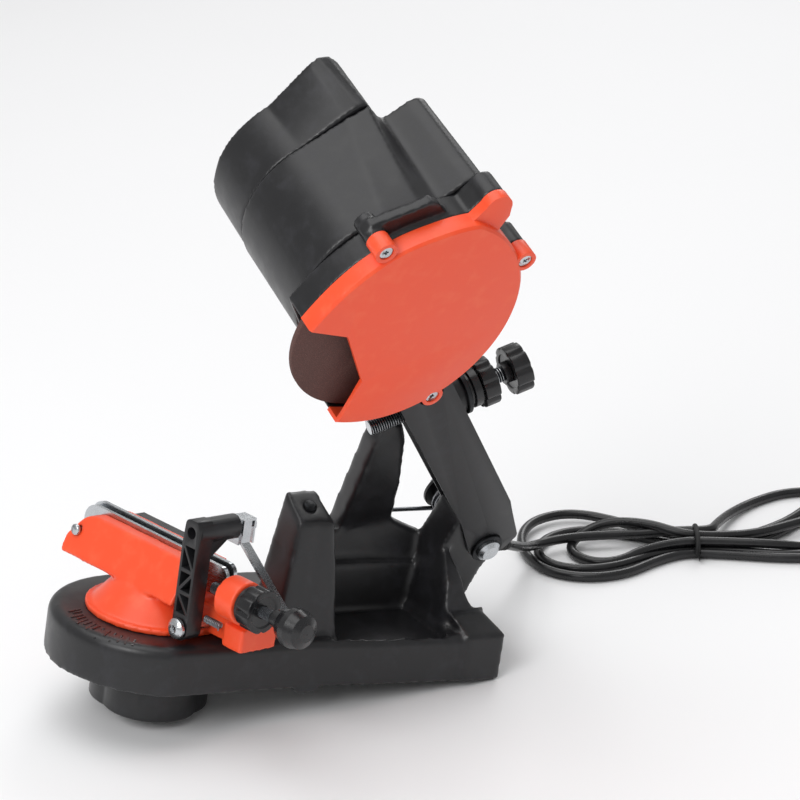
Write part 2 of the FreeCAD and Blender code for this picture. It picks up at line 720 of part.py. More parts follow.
# ------------------------------------------------------------------------ head
def arm_lug():
    """Lug of the shroud that fills the arm's channel at its top end."""
    strip = [arm_edge(-1, 90), arm_edge(-1, 220), arm_edge(1, 220), arm_edge(1, 90)]
    inset = (strip[0] - strip[3]).normalize()
    strip[2] = strip[2] + inset * (plate_thick + 0.02)
    strip[3] = strip[3] + inset * (plate_thick + 0.02)
    strip[0] = strip[0] - inset * 1.5
    strip[1] = strip[1] - inset * 1.5
    low = far_face + plate_thick + 0.02
    high = near_face - plate_thick - 0.02
    face = Part.Face(Part.makePolygon(strip + strip[:1]))
    column = face.extrude(Vector(0, 0, high - low))
    column.translate(Vector(0, 0, low))
    centre = Vector(guard_x, guard_y, low)
    outer = Part.makeCylinder(guard_radius + 13, high - low, centre)
    hollow = Part.makeCylinder(guard_radius + 1.6, high - low, centre)
    neck = Part.makeCylinder(guard_radius + 2, guard_back - shroud_back - 0.3,
                             Vector(guard_x, guard_y, shroud_back))
    core = Part.makeCylinder(guard_radius - 2, high - low, centre)
    lug = column.common(outer).cut(hollow)
    neck = column.common(neck).cut(core)
    boss = Part.makeCylinder(boss_radius + 0.9, 40,
                             Vector(BOSSES[2][0], BOSSES[2][1], guard_back - 0.3))
    return lug.fuse(neck).cut(boss)


def arm_screw_places():
    """Where the two screws go through the arm's far plate into the lug."""
    along = arm_edge(1, 1) - arm_edge(1, 0)
    middle = (arm_edge(-1, 0) + arm_edge(1, 0)) * 0.5
    foot = Vector(guard_x, guard_y, 0) - middle
    reach = foot.dot(along) - guard_radius - 9.0
    across = (arm_edge(1, 0) - arm_edge(-1, 0)).normalize()
    return [middle + along * reach - across * 6, middle + along * reach + across * 6]


def guard_outline(grow):
    """Outline of the guard, its flat upper left side and its full circle as arcs."""
    radius = guard_radius + grow
    lean = grow * 0.7

    def rim(angle):
        turn = math.radians(angle)
        return (guard_x + radius * math.cos(turn), guard_y + radius * math.sin(turn))

    flat = [(-187.0 - lean, 163.0), (-183.5 - lean, 172.5 + lean * 0.3),
            (-178.0 - lean, 184.5 + lean * 0.5), (-167.5 - lean, 199.8 + lean),
            (-154.5 - lean * 0.6, 211.4 + lean), (-141.5 - lean * 0.3, 218.3 + grow),
            (-128.5, 223.4 + grow)]
    return flat, rim


def guard_face_wire(grow, opening):
    """Wire of the guard outline. The opening bares the wheel's lower left side."""
    flat, rim = guard_outline(grow)
    start = rim(76)
    right = rim(0)
    tip = rim(-99)
    points = [Vector(x, y, 0) for x, y in flat]
    spline = Part.BSplineCurve()
    spline.interpolate(points + [Vector(start[0], start[1], 0)])
    edges = [spline.toShape(),
             Part.Arc(Vector(*start, 0), Vector(*rim(38), 0), Vector(*right, 0)).toShape(),
             Part.Arc(Vector(*right, 0), Vector(*rim(-50), 0), Vector(*tip, 0)).toShape()]
    chain = [Vector(*tip, 0)] + [Vector(x, y, 0) for x, y in opening] + [points[0]]
    for a, b in zip(chain, chain[1:]):
        edges.append(Part.LineSegment(a, b).toShape())
    return Part.Wire(edges)


def guard_blank(grow, opening, low, high):
    """Solid of the guard outline between two heights."""
    wire = guard_face_wire(grow, opening)
    wire.translate(Vector(0, 0, low))
    return Part.Face(wire).extrude(Vector(0, 0, high - low))


def arc_wire(points, through):
    """Closed wire of straight runs, closed by an arc through one more point."""
    corners = [Vector(x, y, 0) for x, y in points]
    edges = [Part.makeLine(a, b) for a, b in zip(corners, corners[1:])]
    edges.append(Part.Arc(corners[-1], Vector(through[0], through[1], 0), corners[0]).toShape())
    return Part.Wire(edges)


def ear_plate(inset, thick):
    """The round-topped ear above the guard that the carrying hook passes through."""
    left = [(-127 + inset, 214), (-117.4 + inset, 232.4)]
    right = [(-102.9 - inset, 232.8), (-101.6 - inset, 228), (-105.6 - inset, 212)]
    corners = [Vector(x, y, 0) for x, y in left + right]
    edges = [Part.makeLine(corners[0], corners[1]),
             Part.Arc(corners[1], Vector(-111.2, 239.2 - inset, 0), corners[2]).toShape(),
             Part.makeLine(corners[2], corners[3]), Part.makeLine(corners[3], corners[4]),
             Part.makeLine(corners[4], corners[0])]
    return Part.Face(Part.Wire(edges)).extrude(Vector(0, 0, thick))


def make_guard():
    """Orange wheel guard: face, side wall, ear, screw bosses and the wheel opening."""
    mouth = [(-143.4, 108.0), (-142.1, 129.3), (-164.0, 158.9)]
    low = guard_face_wire(0.0, mouth)
    low.translate(Vector(0, 0, guard_face - 1.3))
    high = guard_face_wire(-1.3, mouth)
    high.translate(Vector(0, 0, guard_face))
    bevel = Part.makeLoft([low, high], True, True)
    outer = guard_blank(0.0, mouth, guard_back, guard_face - 1.3).fuse(bevel)
    room = [(-150.0, 90.0), (-160.0, 96.0), (-200.0, 150.0)]
    inner = guard_blank(-shell_wall, room, guard_back - 1, guard_face - 2.4)
    ear = ear_plate(0.0, 5.5)
    ear.translate(Vector(0, 0, guard_back))
    shape = outer.fuse(ear)
    for x, y in BOSSES:
        shape = shape.fuse(Part.makeCylinder(boss_radius, 9.5, Vector(x, y, guard_back)))
    shape = shape.cut(inner)
    for x, y in BOSSES:
        post = Part.makeCylinder(boss_radius - 0.6, 9.5, Vector(x, y, guard_back))
        far_from_wheel = math.hypot(x - wheel_x, y - wheel_y) - boss_radius - wheel_radius
        if far_from_wheel > 1.0:
            shape = shape.fuse(post)
        hole = Part.makeCylinder(1.9, 30, Vector(x, y, guard_back - 5))
        head = Part.makeCylinder(3.6, 6, Vector(x, y, guard_back + 7.0))
        shape = shape.cut(hole).cut(head)
    shape = max(shape.removeSplitter().Solids, key=lambda part: part.Volume)
    solid("wheel_guard", shape, HEAD)


def make_shroud():
    """Black shroud behind the wheel: back plate, rim, lugs and the spindle hole."""
    mouth = [(-143.4, 104.0), (-150.0, 112.0), (-158.0, 122.0), (-173.0, 146.0)]
    room = [(-150.0, 90.0), (-170.0, 96.0), (-200.0, 150.0)]
    outer = guard_blank(-0.3, mouth, shroud_back, guard_back)
    inner = guard_blank(-0.3 - shell_wall, room, shroud_back + 4.0, guard_back + 1)
    shape = outer.cut(inner)
    for x, y in BOSSES:
        lug = Part.makeCylinder(boss_radius - 0.3, guard_back - shroud_back,
                                Vector(x, y, shroud_back))
        shape = shape.fuse(lug)
    wheel_room = Part.makeCylinder(wheel_radius + 1.0, 20,
                                   Vector(wheel_x, wheel_y, shroud_back + 4.0))
    shape = shape.cut(wheel_room)
    shape = shape.fuse(arm_lug())
    for at in arm_screw_places():
        shape = shape.cut(Part.makeCylinder(2.0, 14, Vector(at.x, at.y, far_face - 1)))
    ear = ear_plate(0.4, guard_back - shroud_back)
    ear.translate(Vector(0, 0, shroud_back))
    pad_face = Part.Face(arc_wire(
        [(-172.2, 209.4), (-169.4, 215.3), (-164, 217.6), (-148.4, 225.2), (-141.8, 229.3),
         (-136.3, 227.4), (-125, 218)], (-150, 200)))
    block = pad_face.extrude(Vector(0, 0, 5.5))
    block.translate(Vector(0, 0, -5.6))
    shape = shape.fuse(ear).fuse(block)
    hole = Part.makeCylinder(bearing_radius, 40, Vector(wheel_x, wheel_y, shroud_back - 5))
    shape = shape.cut(wheel_room).cut(hole)
    for x, y in BOSSES:
        shape = shape.cut(Part.makeCylinder(1.7, 40, Vector(x, y, shroud_back - 5)))
    shape = max(shape.removeSplitter().Solids, key=lambda part: part.Volume)
    solid("wheel_shroud", shape, HEAD)


def casing_wire(lift, left, grow, corners):
    """Motor casing outline: a round lower side, then the corners of the crested top."""
    cx, cy, radius = -137.0 + left, 169.5, 42.5 + grow

    def rim(angle):
        turn = math.radians(angle)
        return Vector(cx + radius * math.cos(turn), cy + radius * math.sin(turn), lift)

    edges = [Part.Arc(rim(131), rim(180), rim(250)).toShape(),
             Part.Arc(rim(250), rim(310), rim(5)).toShape()]
    chain = [rim(5)] + [Vector(x, y, lift) for x, y in corners] + [rim(131)]
    for a, b in zip(chain, chain[1:]):
        edges.append(Part.makeLine(a, b))
    return Part.Wire(edges)


def switch_place():
    """Frame on the sloping right face of the motor casing, own Z out of the face."""
    face = Rotation(Vector(-0.416, 0.909, 0), Vector(0, 0, 1), Vector(0.909, 0.416, 0))
    return Placement(Vector(-99.6, 217.0, -38.0), face)


def make_housing():
    """Motor casing in two shells: the body behind the shroud and the rear cap."""
    front = shroud_back - 0.02
    rear = [(-94.5, 205), (-107.5, 233.4), (-112.5, 234.2), (-116.6, 231.6), (-127.0, 220.0),
            (-137.0, 225.0), (-147.0, 220.5)]
    fore = [(-94.5, 205), (-107.5, 234.5), (-112.5, 235.0), (-116.6, 232.6), (-127.0, 221.0),
            (-138.0, 219.0), (-156.0, 212.0)]
    shape = Part.makeLoft([casing_wire(cap_seam, 0, 1.2, rear), casing_wire(front, 2, 2.8, fore)],
                          True, True)
    valley = [edge for edge in shape.Edges
              if abs(edge.BoundBox.YMax - 221) < 0.2 and edge.BoundBox.ZLength > 50]
    shape = shape.makeFillet(5.0, valley)
    cavity = Part.makeCylinder(motor_cavity, front - cap_seam - 8,
                               Vector(wheel_x, wheel_y, cap_seam - 1))
    nest = Part.makeCylinder(bearing_radius, 30, Vector(wheel_x, wheel_y, front - 20))
    window = Part.makeBox(20.2, 12.2, 16, Vector(-10.1, -6.1, -14))
    window.Placement = switch_place() * window.Placement
    shape = shape.cut(cavity).cut(nest).cut(window)
    solid("motor_housing", shape.removeSplitter(), HEAD)

    back = [(-129.5, 204), (-137.5, 228.2), (-144.0, 231.4), (-150.0, 230.6), (-153.5, 226.5)]
    seam = [(-126.5, 203), (-133.0, 224.6), (-138.5, 228.6), (-142.5, 227.2), (-147.5, 222.0)]
    shape = Part.makeLoft([casing_wire(housing_rear, -1.5, -1.2, back),
                           casing_wire(cap_seam - 0.02, 0, 0.4, seam)], True, True)
    cavity = Part.makeCylinder(motor_cavity, 26, Vector(wheel_x, wheel_y, cap_seam - 24))
    nest = Part.makeCylinder(9.0, 8, Vector(wheel_x, wheel_y, cap_seam - 31))
    solid("rear_cap", shape.cut(cavity).cut(nest).removeSplitter(), HEAD)


def make_spindle():
    """Rotor, bearings, flanges and wheel on the motor shaft."""
    shaft = spindle_radius
    front = shroud_back
    turned("motor_shaft", SPINDLE,
           [(0, -101.5), (3.5, -101.5), (3.5, -93), (4.0, -93), (4.0, front - 8),
            (shaft, front - 8), (shaft, 5.5), (4.0, 5.5), (4.0, 9.4), (0, 9.4)])
    turned("grinding_wheel", SPINDLE,
           ring_section(shaft + 0.02, wheel_radius, -wheel_thick / 2, wheel_thick / 2, 0.4))
    turned("inner_flange", SPINDLE,
           [(shaft, -5.4), (11, -5.4), (17, -3.4), (17, -wheel_thick / 2),
            (shaft, -wheel_thick / 2)])
    turned("outer_flange", SPINDLE,
           [(shaft, wheel_thick / 2), (17, wheel_thick / 2), (17, 3.0), (11, 4.6), (shaft, 4.6)])
    nut = Part.Face(Part.makePolygon(
        [Vector(7.5 * math.cos(math.radians(60 * i)), 7.5 * math.sin(math.radians(60 * i)), 0)
         for i in range(7)])).extrude(Vector(0, 0, 4.2))
    nut = nut.cut(Part.makeCylinder(4.0, 8, Vector(0, 0, 0.9)))
    nut = nut.cut(Part.makeCylinder(spindle_radius, 0.92, Vector(0, 0, -0.01)))
    nut.translate(Vector(0, 0, 4.62))
    solid("wheel_nut", nut, SPINDLE)
    turned("front_bearing", SPINDLE,
           ring_section(shaft + bore_gap, bearing_radius - 0.02, front - 7.5, front - 0.5, 0.4))
    turned("rear_bearing", SPINDLE,
           ring_section(3.5 + bore_gap, 8.98, -101.0, -95.0, 0.4))
    turned("cooling_fan", SPINDLE,
           [(4.0, -28), (26, -28), (26, -26.4), (10, -26.4), (10, -21), (4.0, -21)])
    turned("rotor_core", SPINDLE, ring_section(4.0, rotor_radius, -66, -36, 1.0))
    turned("commutator", SPINDLE, ring_section(4.0, 9.5, -86, -74, 0.5))
    turned("stator", SPINDLE, ring_section(rotor_radius + 1.0, motor_cavity - stator_gap, -64, -38))
    holder = []
    brush = []
    for side in (-1, 1):
        tube = Part.makeBox(15.0, 9.0, 9.0, Vector(11.0, -4.5, -84.5))
        tube = tube.cut(Part.makeBox(20, 6.0, 6.0, Vector(10.0, -3.0, -83.0)))
        block = Part.makeBox(11.0, 5.9, 5.9, Vector(9.8, -2.95, -82.95))
        if side < 0:
            tube.rotate(Vector(), Vector(0, 0, 1), 180)
            block.rotate(Vector(), Vector(0, 0, 1), 180)
        holder.append(tube)
        brush.append(block)
    group("brush_holders", holder, SPINDLE)
    group("carbon_brushes", brush, SPINDLE)


def make_head_hardware():
    """Guard screws, cap screws and the rocker switch."""
    screws = []
    for x, y in BOSSES:
        shank = Part.makeCylinder(1.68, 17, Vector(x, y, guard_back + 7.5 - 17))
        head = Part.makeCylinder(3.3, 1.8, Vector(x, y, guard_back + 7.0))
        screws.append(shank.fuse(head).removeSplitter())
    group("guard_screws", screws, HEAD)
    screws = []
    for at in arm_screw_places():
        shank = Part.makeCylinder(1.98, 13, Vector(at.x, at.y, far_face - 0.5))
        head = Part.makeCylinder(3.6, 1.8, Vector(at.x, at.y, far_face - 1.8))
        screws.append(shank.fuse(head).removeSplitter())
    group("arm_screws", screws, HEAD)
    at = HEAD * switch_place()
    body = Part.makeBox(20.0, 12.0, 13.5, Vector(-10, -6, -13.5))
    bezel = Part.makeBox(24.0, 16.0, 1.6, Vector(-12, -8, 0.7))
    well = Part.makeBox(17.0, 9.0, 9.0, Vector(-8.5, -4.5, -6.0))
    solid("switch_body", body.fuse(bezel).fuse(Part.makeBox(20, 12, 0.8, Vector(-10, -6, 0)))
          .cut(well).removeSplitter(), at)
    side = [Vector(-7.2, -4.1, -2.4), Vector(7.2, -4.1, -2.4), Vector(7.3, -4.1, 5.2),
            Vector(0.6, -4.1, 3.0), Vector(-8.0, -4.1, 2.9)]
    rocker = Part.Face(Part.makePolygon(side + side[:1])).extrude(Vector(0, 8.2, 0))
    solid("switch_rocker", rocker, at)


# ------------------------------------------------------------------------ vise
def make_vise_body():
    """Orange vise: turntable flange, trapezoid body, stop bracket and screw boss."""
    flange = Part.makeCylinder(flange_radius, flange_thick, Vector(0, 0, deck_height + 0.02))
    neck = Part.makeCone(35.5, 23.0, 15.0, Vector(0, 0, deck_height + 2))
    body = new_body("vise_blank", WORLD)
    pad(body, [(body_near, body_base), (body_far, body_base), (body_far + 1.5, body_base + 8, 4),
               (body_far - 5, body_crest - 2, 8), (body_far - 12, body_crest),
               (body_near, body_crest)],
        -body_half, 2 * body_half, None, None, "YZ_Plane")
    doc.recompute()
    block = body.Shape.copy()
    doc.removeObject(body.Name)
    for side in (-1, 1):
        slope = Part.Face(Part.makePolygon([
            Vector(side * body_half, -60, body_base + 1.5), Vector(side * crest_half, -60, 62.2),
            Vector(side * 40, -60, 62.2), Vector(side * 40, -60, body_base + 1.5),
            Vector(side * body_half, -60, body_base + 1.5)])).extrude(Vector(0, 130, 0))
        block = block.cut(slope)
    shape = flange.fuse(neck).fuse(block)
    beam = Part.makeBox(18.2, 40.0, 14.0, Vector(-4.0, -70.0, deck_height + 3.2))
    foot = Part.makeBox(20.0, 14.0, 12.0, Vector(-9.0, -70.0, deck_height + 3.2))
    lug = Part.makeBox(17.6, 14.0, 17.0, Vector(-3.5, stop_near, deck_height + 10))
    ring = Part.makeCylinder(11.0, 13.0, Vector(stop_x, stop_near + 13, stop_z), Vector(0, -1, 0))
    prop = Part.makeBox(12.2, 13.0, 20.0, Vector(-6.0, stop_near, deck_height + 10))
    for part in (beam, foot, lug, ring, prop):
        shape = shape.fuse(part)
    slot = Part.makeBox(2 * rail_thick + rail_gap + 0.1, 140, 20,
                        Vector(-rail_thick - rail_gap / 2 - 0.05, -48.5, 48.0))
    bore = Part.makeCylinder(stud_radius + bore_gap, 20, Vector(0, 0, deck_height - 1))
    screw = Part.makeCylinder(3.05, 40, Vector(stop_x, -40, stop_z), Vector(0, -1, 0))
    bolt = Part.makeCylinder(2.5, 34.1, Vector(limb_left, limb_back - limb_thick / 2, limb_foot),
                             Vector(1, 0, 0))
    across = Part.makeCylinder(3.1, 60, Vector(-11, 5, 53), Vector(1, 0, 0))
    seat = Part.makeCylinder(2.05, 30, Vector(-24, 50, 53), Vector(1, 0, 0))
    limb_room = Part.makeBox(limb_width + 4, limb_thick + 5, 70,
                             Vector(limb_left - 2, limb_back - limb_thick - 2.5, 20))
    for tool in (slot, bore, screw, bolt, across, seat, limb_room):
        shape = shape.cut(tool)
    shape = max(shape.removeSplitter().Solids, key=lambda part: part.Volume)
    solid("vise_body", shape, VISE)


def rail(label, x, top, crop):
    """A steel guide plate with two rounded top corners."""
    body = new_body(label, VISE)
    pad(body, [(rail_near, 48.1), (rail_far, 48.1), (rail_far, top, crop),
               (rail_near, top, 5)],
        x, rail_thick, "Sizes.rail_thick", None, "YZ_Plane")
    pocket(body, None, x + rail_thick + 0.5, rail_thick + 1, None,
           [(5, 53, 3.1, None)], "YZ_Plane")
    return body


def make_rails():
    """The fixed and the moving guide plate, the clamp screw and its lever."""
    half = rail_gap / 2
    rail("near_guide_plate", -half - rail_thick, rail_top, 9)
    rail("far_guide_plate", half, rail_top + 1.4, 9)
    turned("clamp_screw", VISE * along_x(0, 5, 53),
           [(0, -10.5), (3.0, -10.5), (3.0, 27.5), (0, 27.5)])
    turned("guide_plate_screw", VISE * along_x(0, 50, 53),
           [(0, -21.6), (3.4, -21.6), (4.2, -20.8), (4.2, -18.9), (2.0, -18.9),
            (2.0, -half - rail_thick - 0.02), (0, -half - rail_thick - 0.02)])
    lever = Part.makeBox(7.0, 50.0, 7.5, Vector(20.2, 0, 49.3))
    lever = lever.fuse(Part.makeCylinder(7.0, 7.0, Vector(20.2, 5, 53), Vector(1, 0, 0)))
    lever = lever.cut(Part.makeCylinder(3.05, 20, Vector(15, 5, 53), Vector(1, 0, 0)))
    solid("clamp_lever", lever.removeSplitter(), VISE)


def make_stop():
    """Chain stop: truss limb, pivot bolt, tube, pawl, screw, knobs and return spring."""
    right = limb_left + limb_width
    near = limb_back - limb_thick
    body = new_body("limb_blank", WORLD)
    pad(body, [(limb_back, limb_foot - 6, 5), (near, limb_foot - 6, 5),
               (near - 0.0, limb_top + 2), (near + 2, limb_top + 6, 2),
               (limb_back - 1, limb_top + 6, 3), (limb_back, limb_top - 6)],
        limb_left, limb_width, "Sizes.limb_width", None, "YZ_Plane")
    doc.recompute()
    limb = body.Shape.copy()
    doc.removeObject(body.Name)
    mid = limb_back - limb_thick / 2
    tube = Part.makeCylinder(tube_radius, tube_end - limb_left - 2,
                             Vector(limb_left + 2, mid, limb_top - 0.2), Vector(1, 0, 0))
    limb = limb.fuse(tube)
    brace = Part.Face(Part.makePolygon([
        Vector(right - 1, mid - 3, 66), Vector(right - 1, mid - 3, limb_top),
        Vector(tube_end - 3, mid - 3, limb_top), Vector(tube_end - 5, mid - 3, limb_top - 5),
        Vector(right - 1, mid - 3, 66)])).extrude(Vector(0, 6, 0))
    limb = limb.fuse(brace)
    hole = Part.makeCylinder(3.0, 10, Vector(limb_left - 1, mid, limb_top - 0.5), Vector(1, 0, 0))
    limb = limb.cut(hole)
    for low, high, flip in [(63.5, 75.0, 4.0), (52.0, 61.5, -4.0), (40.5, 50.0, 4.0)]:
        start, end = mid - flip, mid + flip
        lean = 1.2 * (end - start) / (high - low)
        bays = ([(start, low + 1.2), (start, high), (end - lean, high)],
                [(end, low), (end, high - 1.2), (start + lean, low)])
        for bay in bays:
            corner = [Vector(limb_left - 1, y, z) for y, z in bay]
            limb = limb.cut(Part.Face(Part.makePolygon(corner + corner[:1]))
                            .extrude(Vector(7.0, 0, 0)))
    pin = Part.makeCylinder(2.56, 60, Vector(limb_left - 20, mid, limb_foot), Vector(1, 0, 0))
    pawl_bore = Part.makeCylinder(2.06, 12, Vector(tube_end - 10, mid, limb_top - 0.2),
                                  Vector(1, 0, 0))
    limb = limb.cut(pin).cut(pawl_bore)
    solid("chain_stop_arm", limb.removeSplitter(), VISE)
    turned("chain_stop_bolt", VISE * along_x(limb_left, mid, limb_foot),
           [(0, -4.0), (3.4, -4.0), (5.2, -2.6), (5.2, -0.8), (2.5, -0.8), (2.5, 34.0), (0, 34.0)])
    turned("pawl_pin", VISE * along_x(tube_end, mid, limb_top - 0.2),
           [(0, -8), (2.0, -8), (2.0, 11.2), (3.6, 11.2), (3.6, 12.2), (0, 12.2)])
    clip = Part.makeBox(9.4, 9.0, 1.2, Vector(tube_end + 0.7, mid - 4.5, limb_top + 2.8))
    for x in (tube_end + 0.3, tube_end + 9.7):
        cheek = Part.makeBox(1.0, 9.0, 13.0, Vector(x, mid - 4.5, limb_top - 9.0))
        clip = clip.fuse(cheek)
    clip = clip.cut(Part.makeCylinder(2.05, 30, Vector(tube_end - 2, mid, limb_top - 0.2),
                                      Vector(1, 0, 0)))
    run = [(mid - 4.5, limb_top + 4.0), (mid - 4.5, limb_top - 8.2), (-76.5, 50.6),
           (-77.6, 51.7), (mid - 6.0, limb_top - 7.5), (mid - 6.0, limb_top + 4.0)]
    corners = [Vector(tube_end + 1.2, y, z) for y, z in run]
    strip = Part.Face(Part.makePolygon(corners + corners[:1])).extrude(Vector(5.2, 0, 0))
    pawl = clip.fuse(strip)
    solid("chain_stop_pawl", pawl.removeSplitter(), VISE)
    screw = Placement(Vector(stop_x, near - 0.3, stop_z), Rotation(Vector(1, 0, 0), 90))
    screw_end = near - 0.3 - (stop_near - 27.2)
    turned("stop_screw", VISE * screw, [(0, 0), (2.2, 0), (2.98, 0.8), (2.98, screw_end), (0, screw_end)])
    turned("stop_lock_washer", VISE * along_near(stop_x, stop_near - 0.1, stop_z),
           ring_section(3.05, 9.6, 0, 2.6, 0.5))
    lock = knob_blank(11.0, 9.0, 8, 3.03)
    solid("stop_lock_knob", lock, VISE * along_near(stop_x, stop_near - 2.9, stop_z))
    turned("stop_ball_knob", VISE * along_near(stop_x, stop_near - 19.5, stop_z),
           [(2.98 + bore_gap, 0), (4.2, 0), (4.6, 4.5), (7.6, 7.4), (9.7, 12.0), (9.9, 15.5),
            (8.4, 20.5), (4.5, 22.6), (0, 22.8), (0, 7.8), (2.98 + bore_gap, 7.8)])
    coil = coil_wire(1.5, 0.8, 0, 1.15, 9.5, 3.0, 2.0)
    solid("stop_spring", coil, VISE * along_near(limb_left + limb_width + 1.5, near - 1.0, 38.5))


# ------------------------------------------------------------------ mains lead
hank_height = size("hank_height", 12.0)
tie_width = size("tie_width", 3.0)


def make_lead():
    """Strain relief on the pivot ear, the lead, its hank with a tie, and the plug."""
    way = Vector(*LEAD[1]) - Vector(*LEAD[0])
    socket = Placement(Vector(*LEAD[0]), Rotation(Vector(0, 0, 1), way))
    turned("strain_relief", socket,
           [(cord_radius + 0.05, -6.5), (gland_radius, -6.5), (gland_radius, 1), (4.6, 2.4),
            (4.2, 5.8), (cord_radius + 0.05, 6.6)])
    route = [Vector(*point) for point in LEAD]
    start = route[0] - way.normalize() * 6
    lead = lead_tube([start] + route[1:], cord_radius)
    outline = Part.BSplineCurve()
    outline.interpolate([Vector(x, y, 0) for x, y in HANK], PeriodicFlag=True)
    hank = Part.Face(Part.Wire(outline.toShape())).extrude(Vector(0, 0, hank_height))
    waist = Placement(Vector(278, 57, 0), Rotation(Vector(0, 0, 1), -30.7))
    band = Part.makeBox(tie_width, 33, hank_height, Vector(-tie_width / 2, -16.5, 0))
    core = Part.makeBox(tie_width + 2, 30.6, hank_height - 2.4,
                        Vector(-tie_width / 2 - 1, -15.3, 1.2))
    room = Part.makeBox(tie_width, 60, 40, Vector(-tie_width / 2, -30, -5))
    room = room.cut(Part.makeBox(tie_width, 30.5, hank_height - 2.5,
                                 Vector(-tie_width / 2, -15.25, 1.25)))
    room.Placement = waist
    solid("lead_hank", hank.cut(room).removeSplitter(), WORLD)
    solid("hank_tie", band.cut(core), waist)
    tail = Placement(Vector(388, 20, 8), Rotation(Vector(0, 0, 1), -62))
    plug = tail * Placement(Vector(29, 0, 7.2), Rotation(Vector(0, 1, 0), 90))
    turned("mains_plug", plug,
           [(cord_radius, -12), (4.2, -12), (5.6, 8), (12, 14), (15.1, 22), (15.1, 40),
            (0, 40), (0, 0), (cord_radius, 0)])
    pins = [Part.makeCylinder(2.4, 19.0, Vector(0, side * 9.5, 40.0)) for side in (-1, 1)]
    group("plug_pins", pins, plug)
    steps = [(-9, 1, 0), (1, 0, 3.5), (11, 0, 7.2), (28.9, 0, 7.2)]
    end = lead_tube([tail.multVec(Vector(*step)) for step in steps], cord_radius - 0.03)
    group("mains_lead", [lead, end], WORLD)


make_base()
make_base_hardware()
make_pivot()
make_arm()
make_depth_screw()
make_guard()
make_shroud()
make_housing()
make_spindle()
make_head_hardware()
make_vise_body()
make_rails()
make_stop()
make_lead()
doc.recompute()

faults = []
for item in doc.Objects:
    if any(state in ("Invalid", "Error") for state in item.State):
        faults.append(f"{item.Label}: {item.State}")
nodes = [item for item in doc.Objects
         if item.TypeId in ("PartDesign::Body", "Part::Feature")]
for item in nodes:
    shape = item.Shape
    if shape.isNull() or not shape.isValid():
        faults.append(f"{item.Label}: shape is not valid")
        continue
    shape.exportStep(f"parts/{item.Label}.step")
box = FreeCAD.BoundBox()
for item in nodes:
    box.add(item.Shape.BoundBox)
print("nodes", len(nodes), "box", box)
print("cord radius", cord_radius, "hank radius", hank_radius)
for fault in faults:
    print("FAULT", fault)
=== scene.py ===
import json
import logging
import math
from collections.abc import Callable
from dataclasses import dataclass
from enum import Enum

import bmesh
import bpy
from mathutils import Matrix, Vector


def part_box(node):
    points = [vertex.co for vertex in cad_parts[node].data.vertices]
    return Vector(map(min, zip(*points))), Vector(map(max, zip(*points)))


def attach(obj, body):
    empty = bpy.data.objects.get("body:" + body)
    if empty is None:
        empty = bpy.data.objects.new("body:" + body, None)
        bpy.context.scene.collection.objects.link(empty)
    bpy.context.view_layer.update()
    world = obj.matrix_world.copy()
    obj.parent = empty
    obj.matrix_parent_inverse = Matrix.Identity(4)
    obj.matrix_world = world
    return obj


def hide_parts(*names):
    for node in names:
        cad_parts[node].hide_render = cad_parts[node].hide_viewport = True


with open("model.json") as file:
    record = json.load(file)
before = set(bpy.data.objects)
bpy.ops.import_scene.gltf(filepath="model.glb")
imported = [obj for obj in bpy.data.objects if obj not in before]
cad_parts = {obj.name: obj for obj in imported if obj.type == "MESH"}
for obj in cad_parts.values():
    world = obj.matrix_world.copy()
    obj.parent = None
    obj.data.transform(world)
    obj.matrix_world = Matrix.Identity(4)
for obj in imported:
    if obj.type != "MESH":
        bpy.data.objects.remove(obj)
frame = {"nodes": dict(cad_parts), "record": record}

LOG = logging.getLogger("chain_sharpener")
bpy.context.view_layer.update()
SLOT_OF = {row["node"]: row["material_slot"] for row in frame["record"]["subparts"]}
MM = 0.001
PATCH = 9.0   # size in millimetres of handled or stained patches
MIDDLE = {"From Min": 0.3, "From Max": 0.7}   # where most of a noise lies
FACING = 0.9   # a face whose normal has more than this along an axis faces that way
COPY_MERGE = 0.000004     # distance in metres below which vertices of a CAD copy are one
THREAD_MERGE = 0.000002   # the same for a thread
FLAT = 0.6   # faces that turn by less than this, in degrees, become one face
Point = tuple[float, float, float]
Zone = tuple[Point, Point]


def turned(axis: str, degrees: float) -> Matrix:
    """Rotation about one of the main axes."""
    return Matrix.Rotation(math.radians(degrees), 4, axis)


def moved(x: float, y: float, z: float) -> Matrix:
    """Translation given in millimetres."""
    return Matrix.Translation((x * MM, y * MM, z * MM))


# The frames of the deck, of the vise on its turntable, of the head with its own Z along the
# wheel's axis, and of the depth screw with its own Z along the screw.
BENCH = moved(-73.05, 38.8, 28.42) @ turned("Y", 9.68)
VISE = BENCH @ turned("Z", 14.0)
HEAD = BENCH @ moved(174.7, -14.1, 63.4) @ turned("Z", 5.0) @ turned("X", 116.0)
DEPTH_SCREW = HEAD @ moved(-106.9, 81.5, -2.5) @ turned("Z", 26.2) @ turned("Y", 90.0)
ALONG_NEAR = turned("X", 90.0)


class Body(Enum):
    """Moving bodies that carry the pieces modelled here."""

    BASE = "base"
    ARM = "arm"
    SPINDLE = "spindle"
    DEPTH_SCREW = "depth_screw"
    DEPTH_KNOB = "depth_knob"
    LOCK_NUT = "depth_lock_nut"
    TURNTABLE = "turntable"
    CLAMP_KNOB = "clamp_knob"
    CHAIN_STOP = "chain_stop_arm"
    STOP_SCREW = "stop_screw"
    STOP_LOCK = "stop_lock_knob"


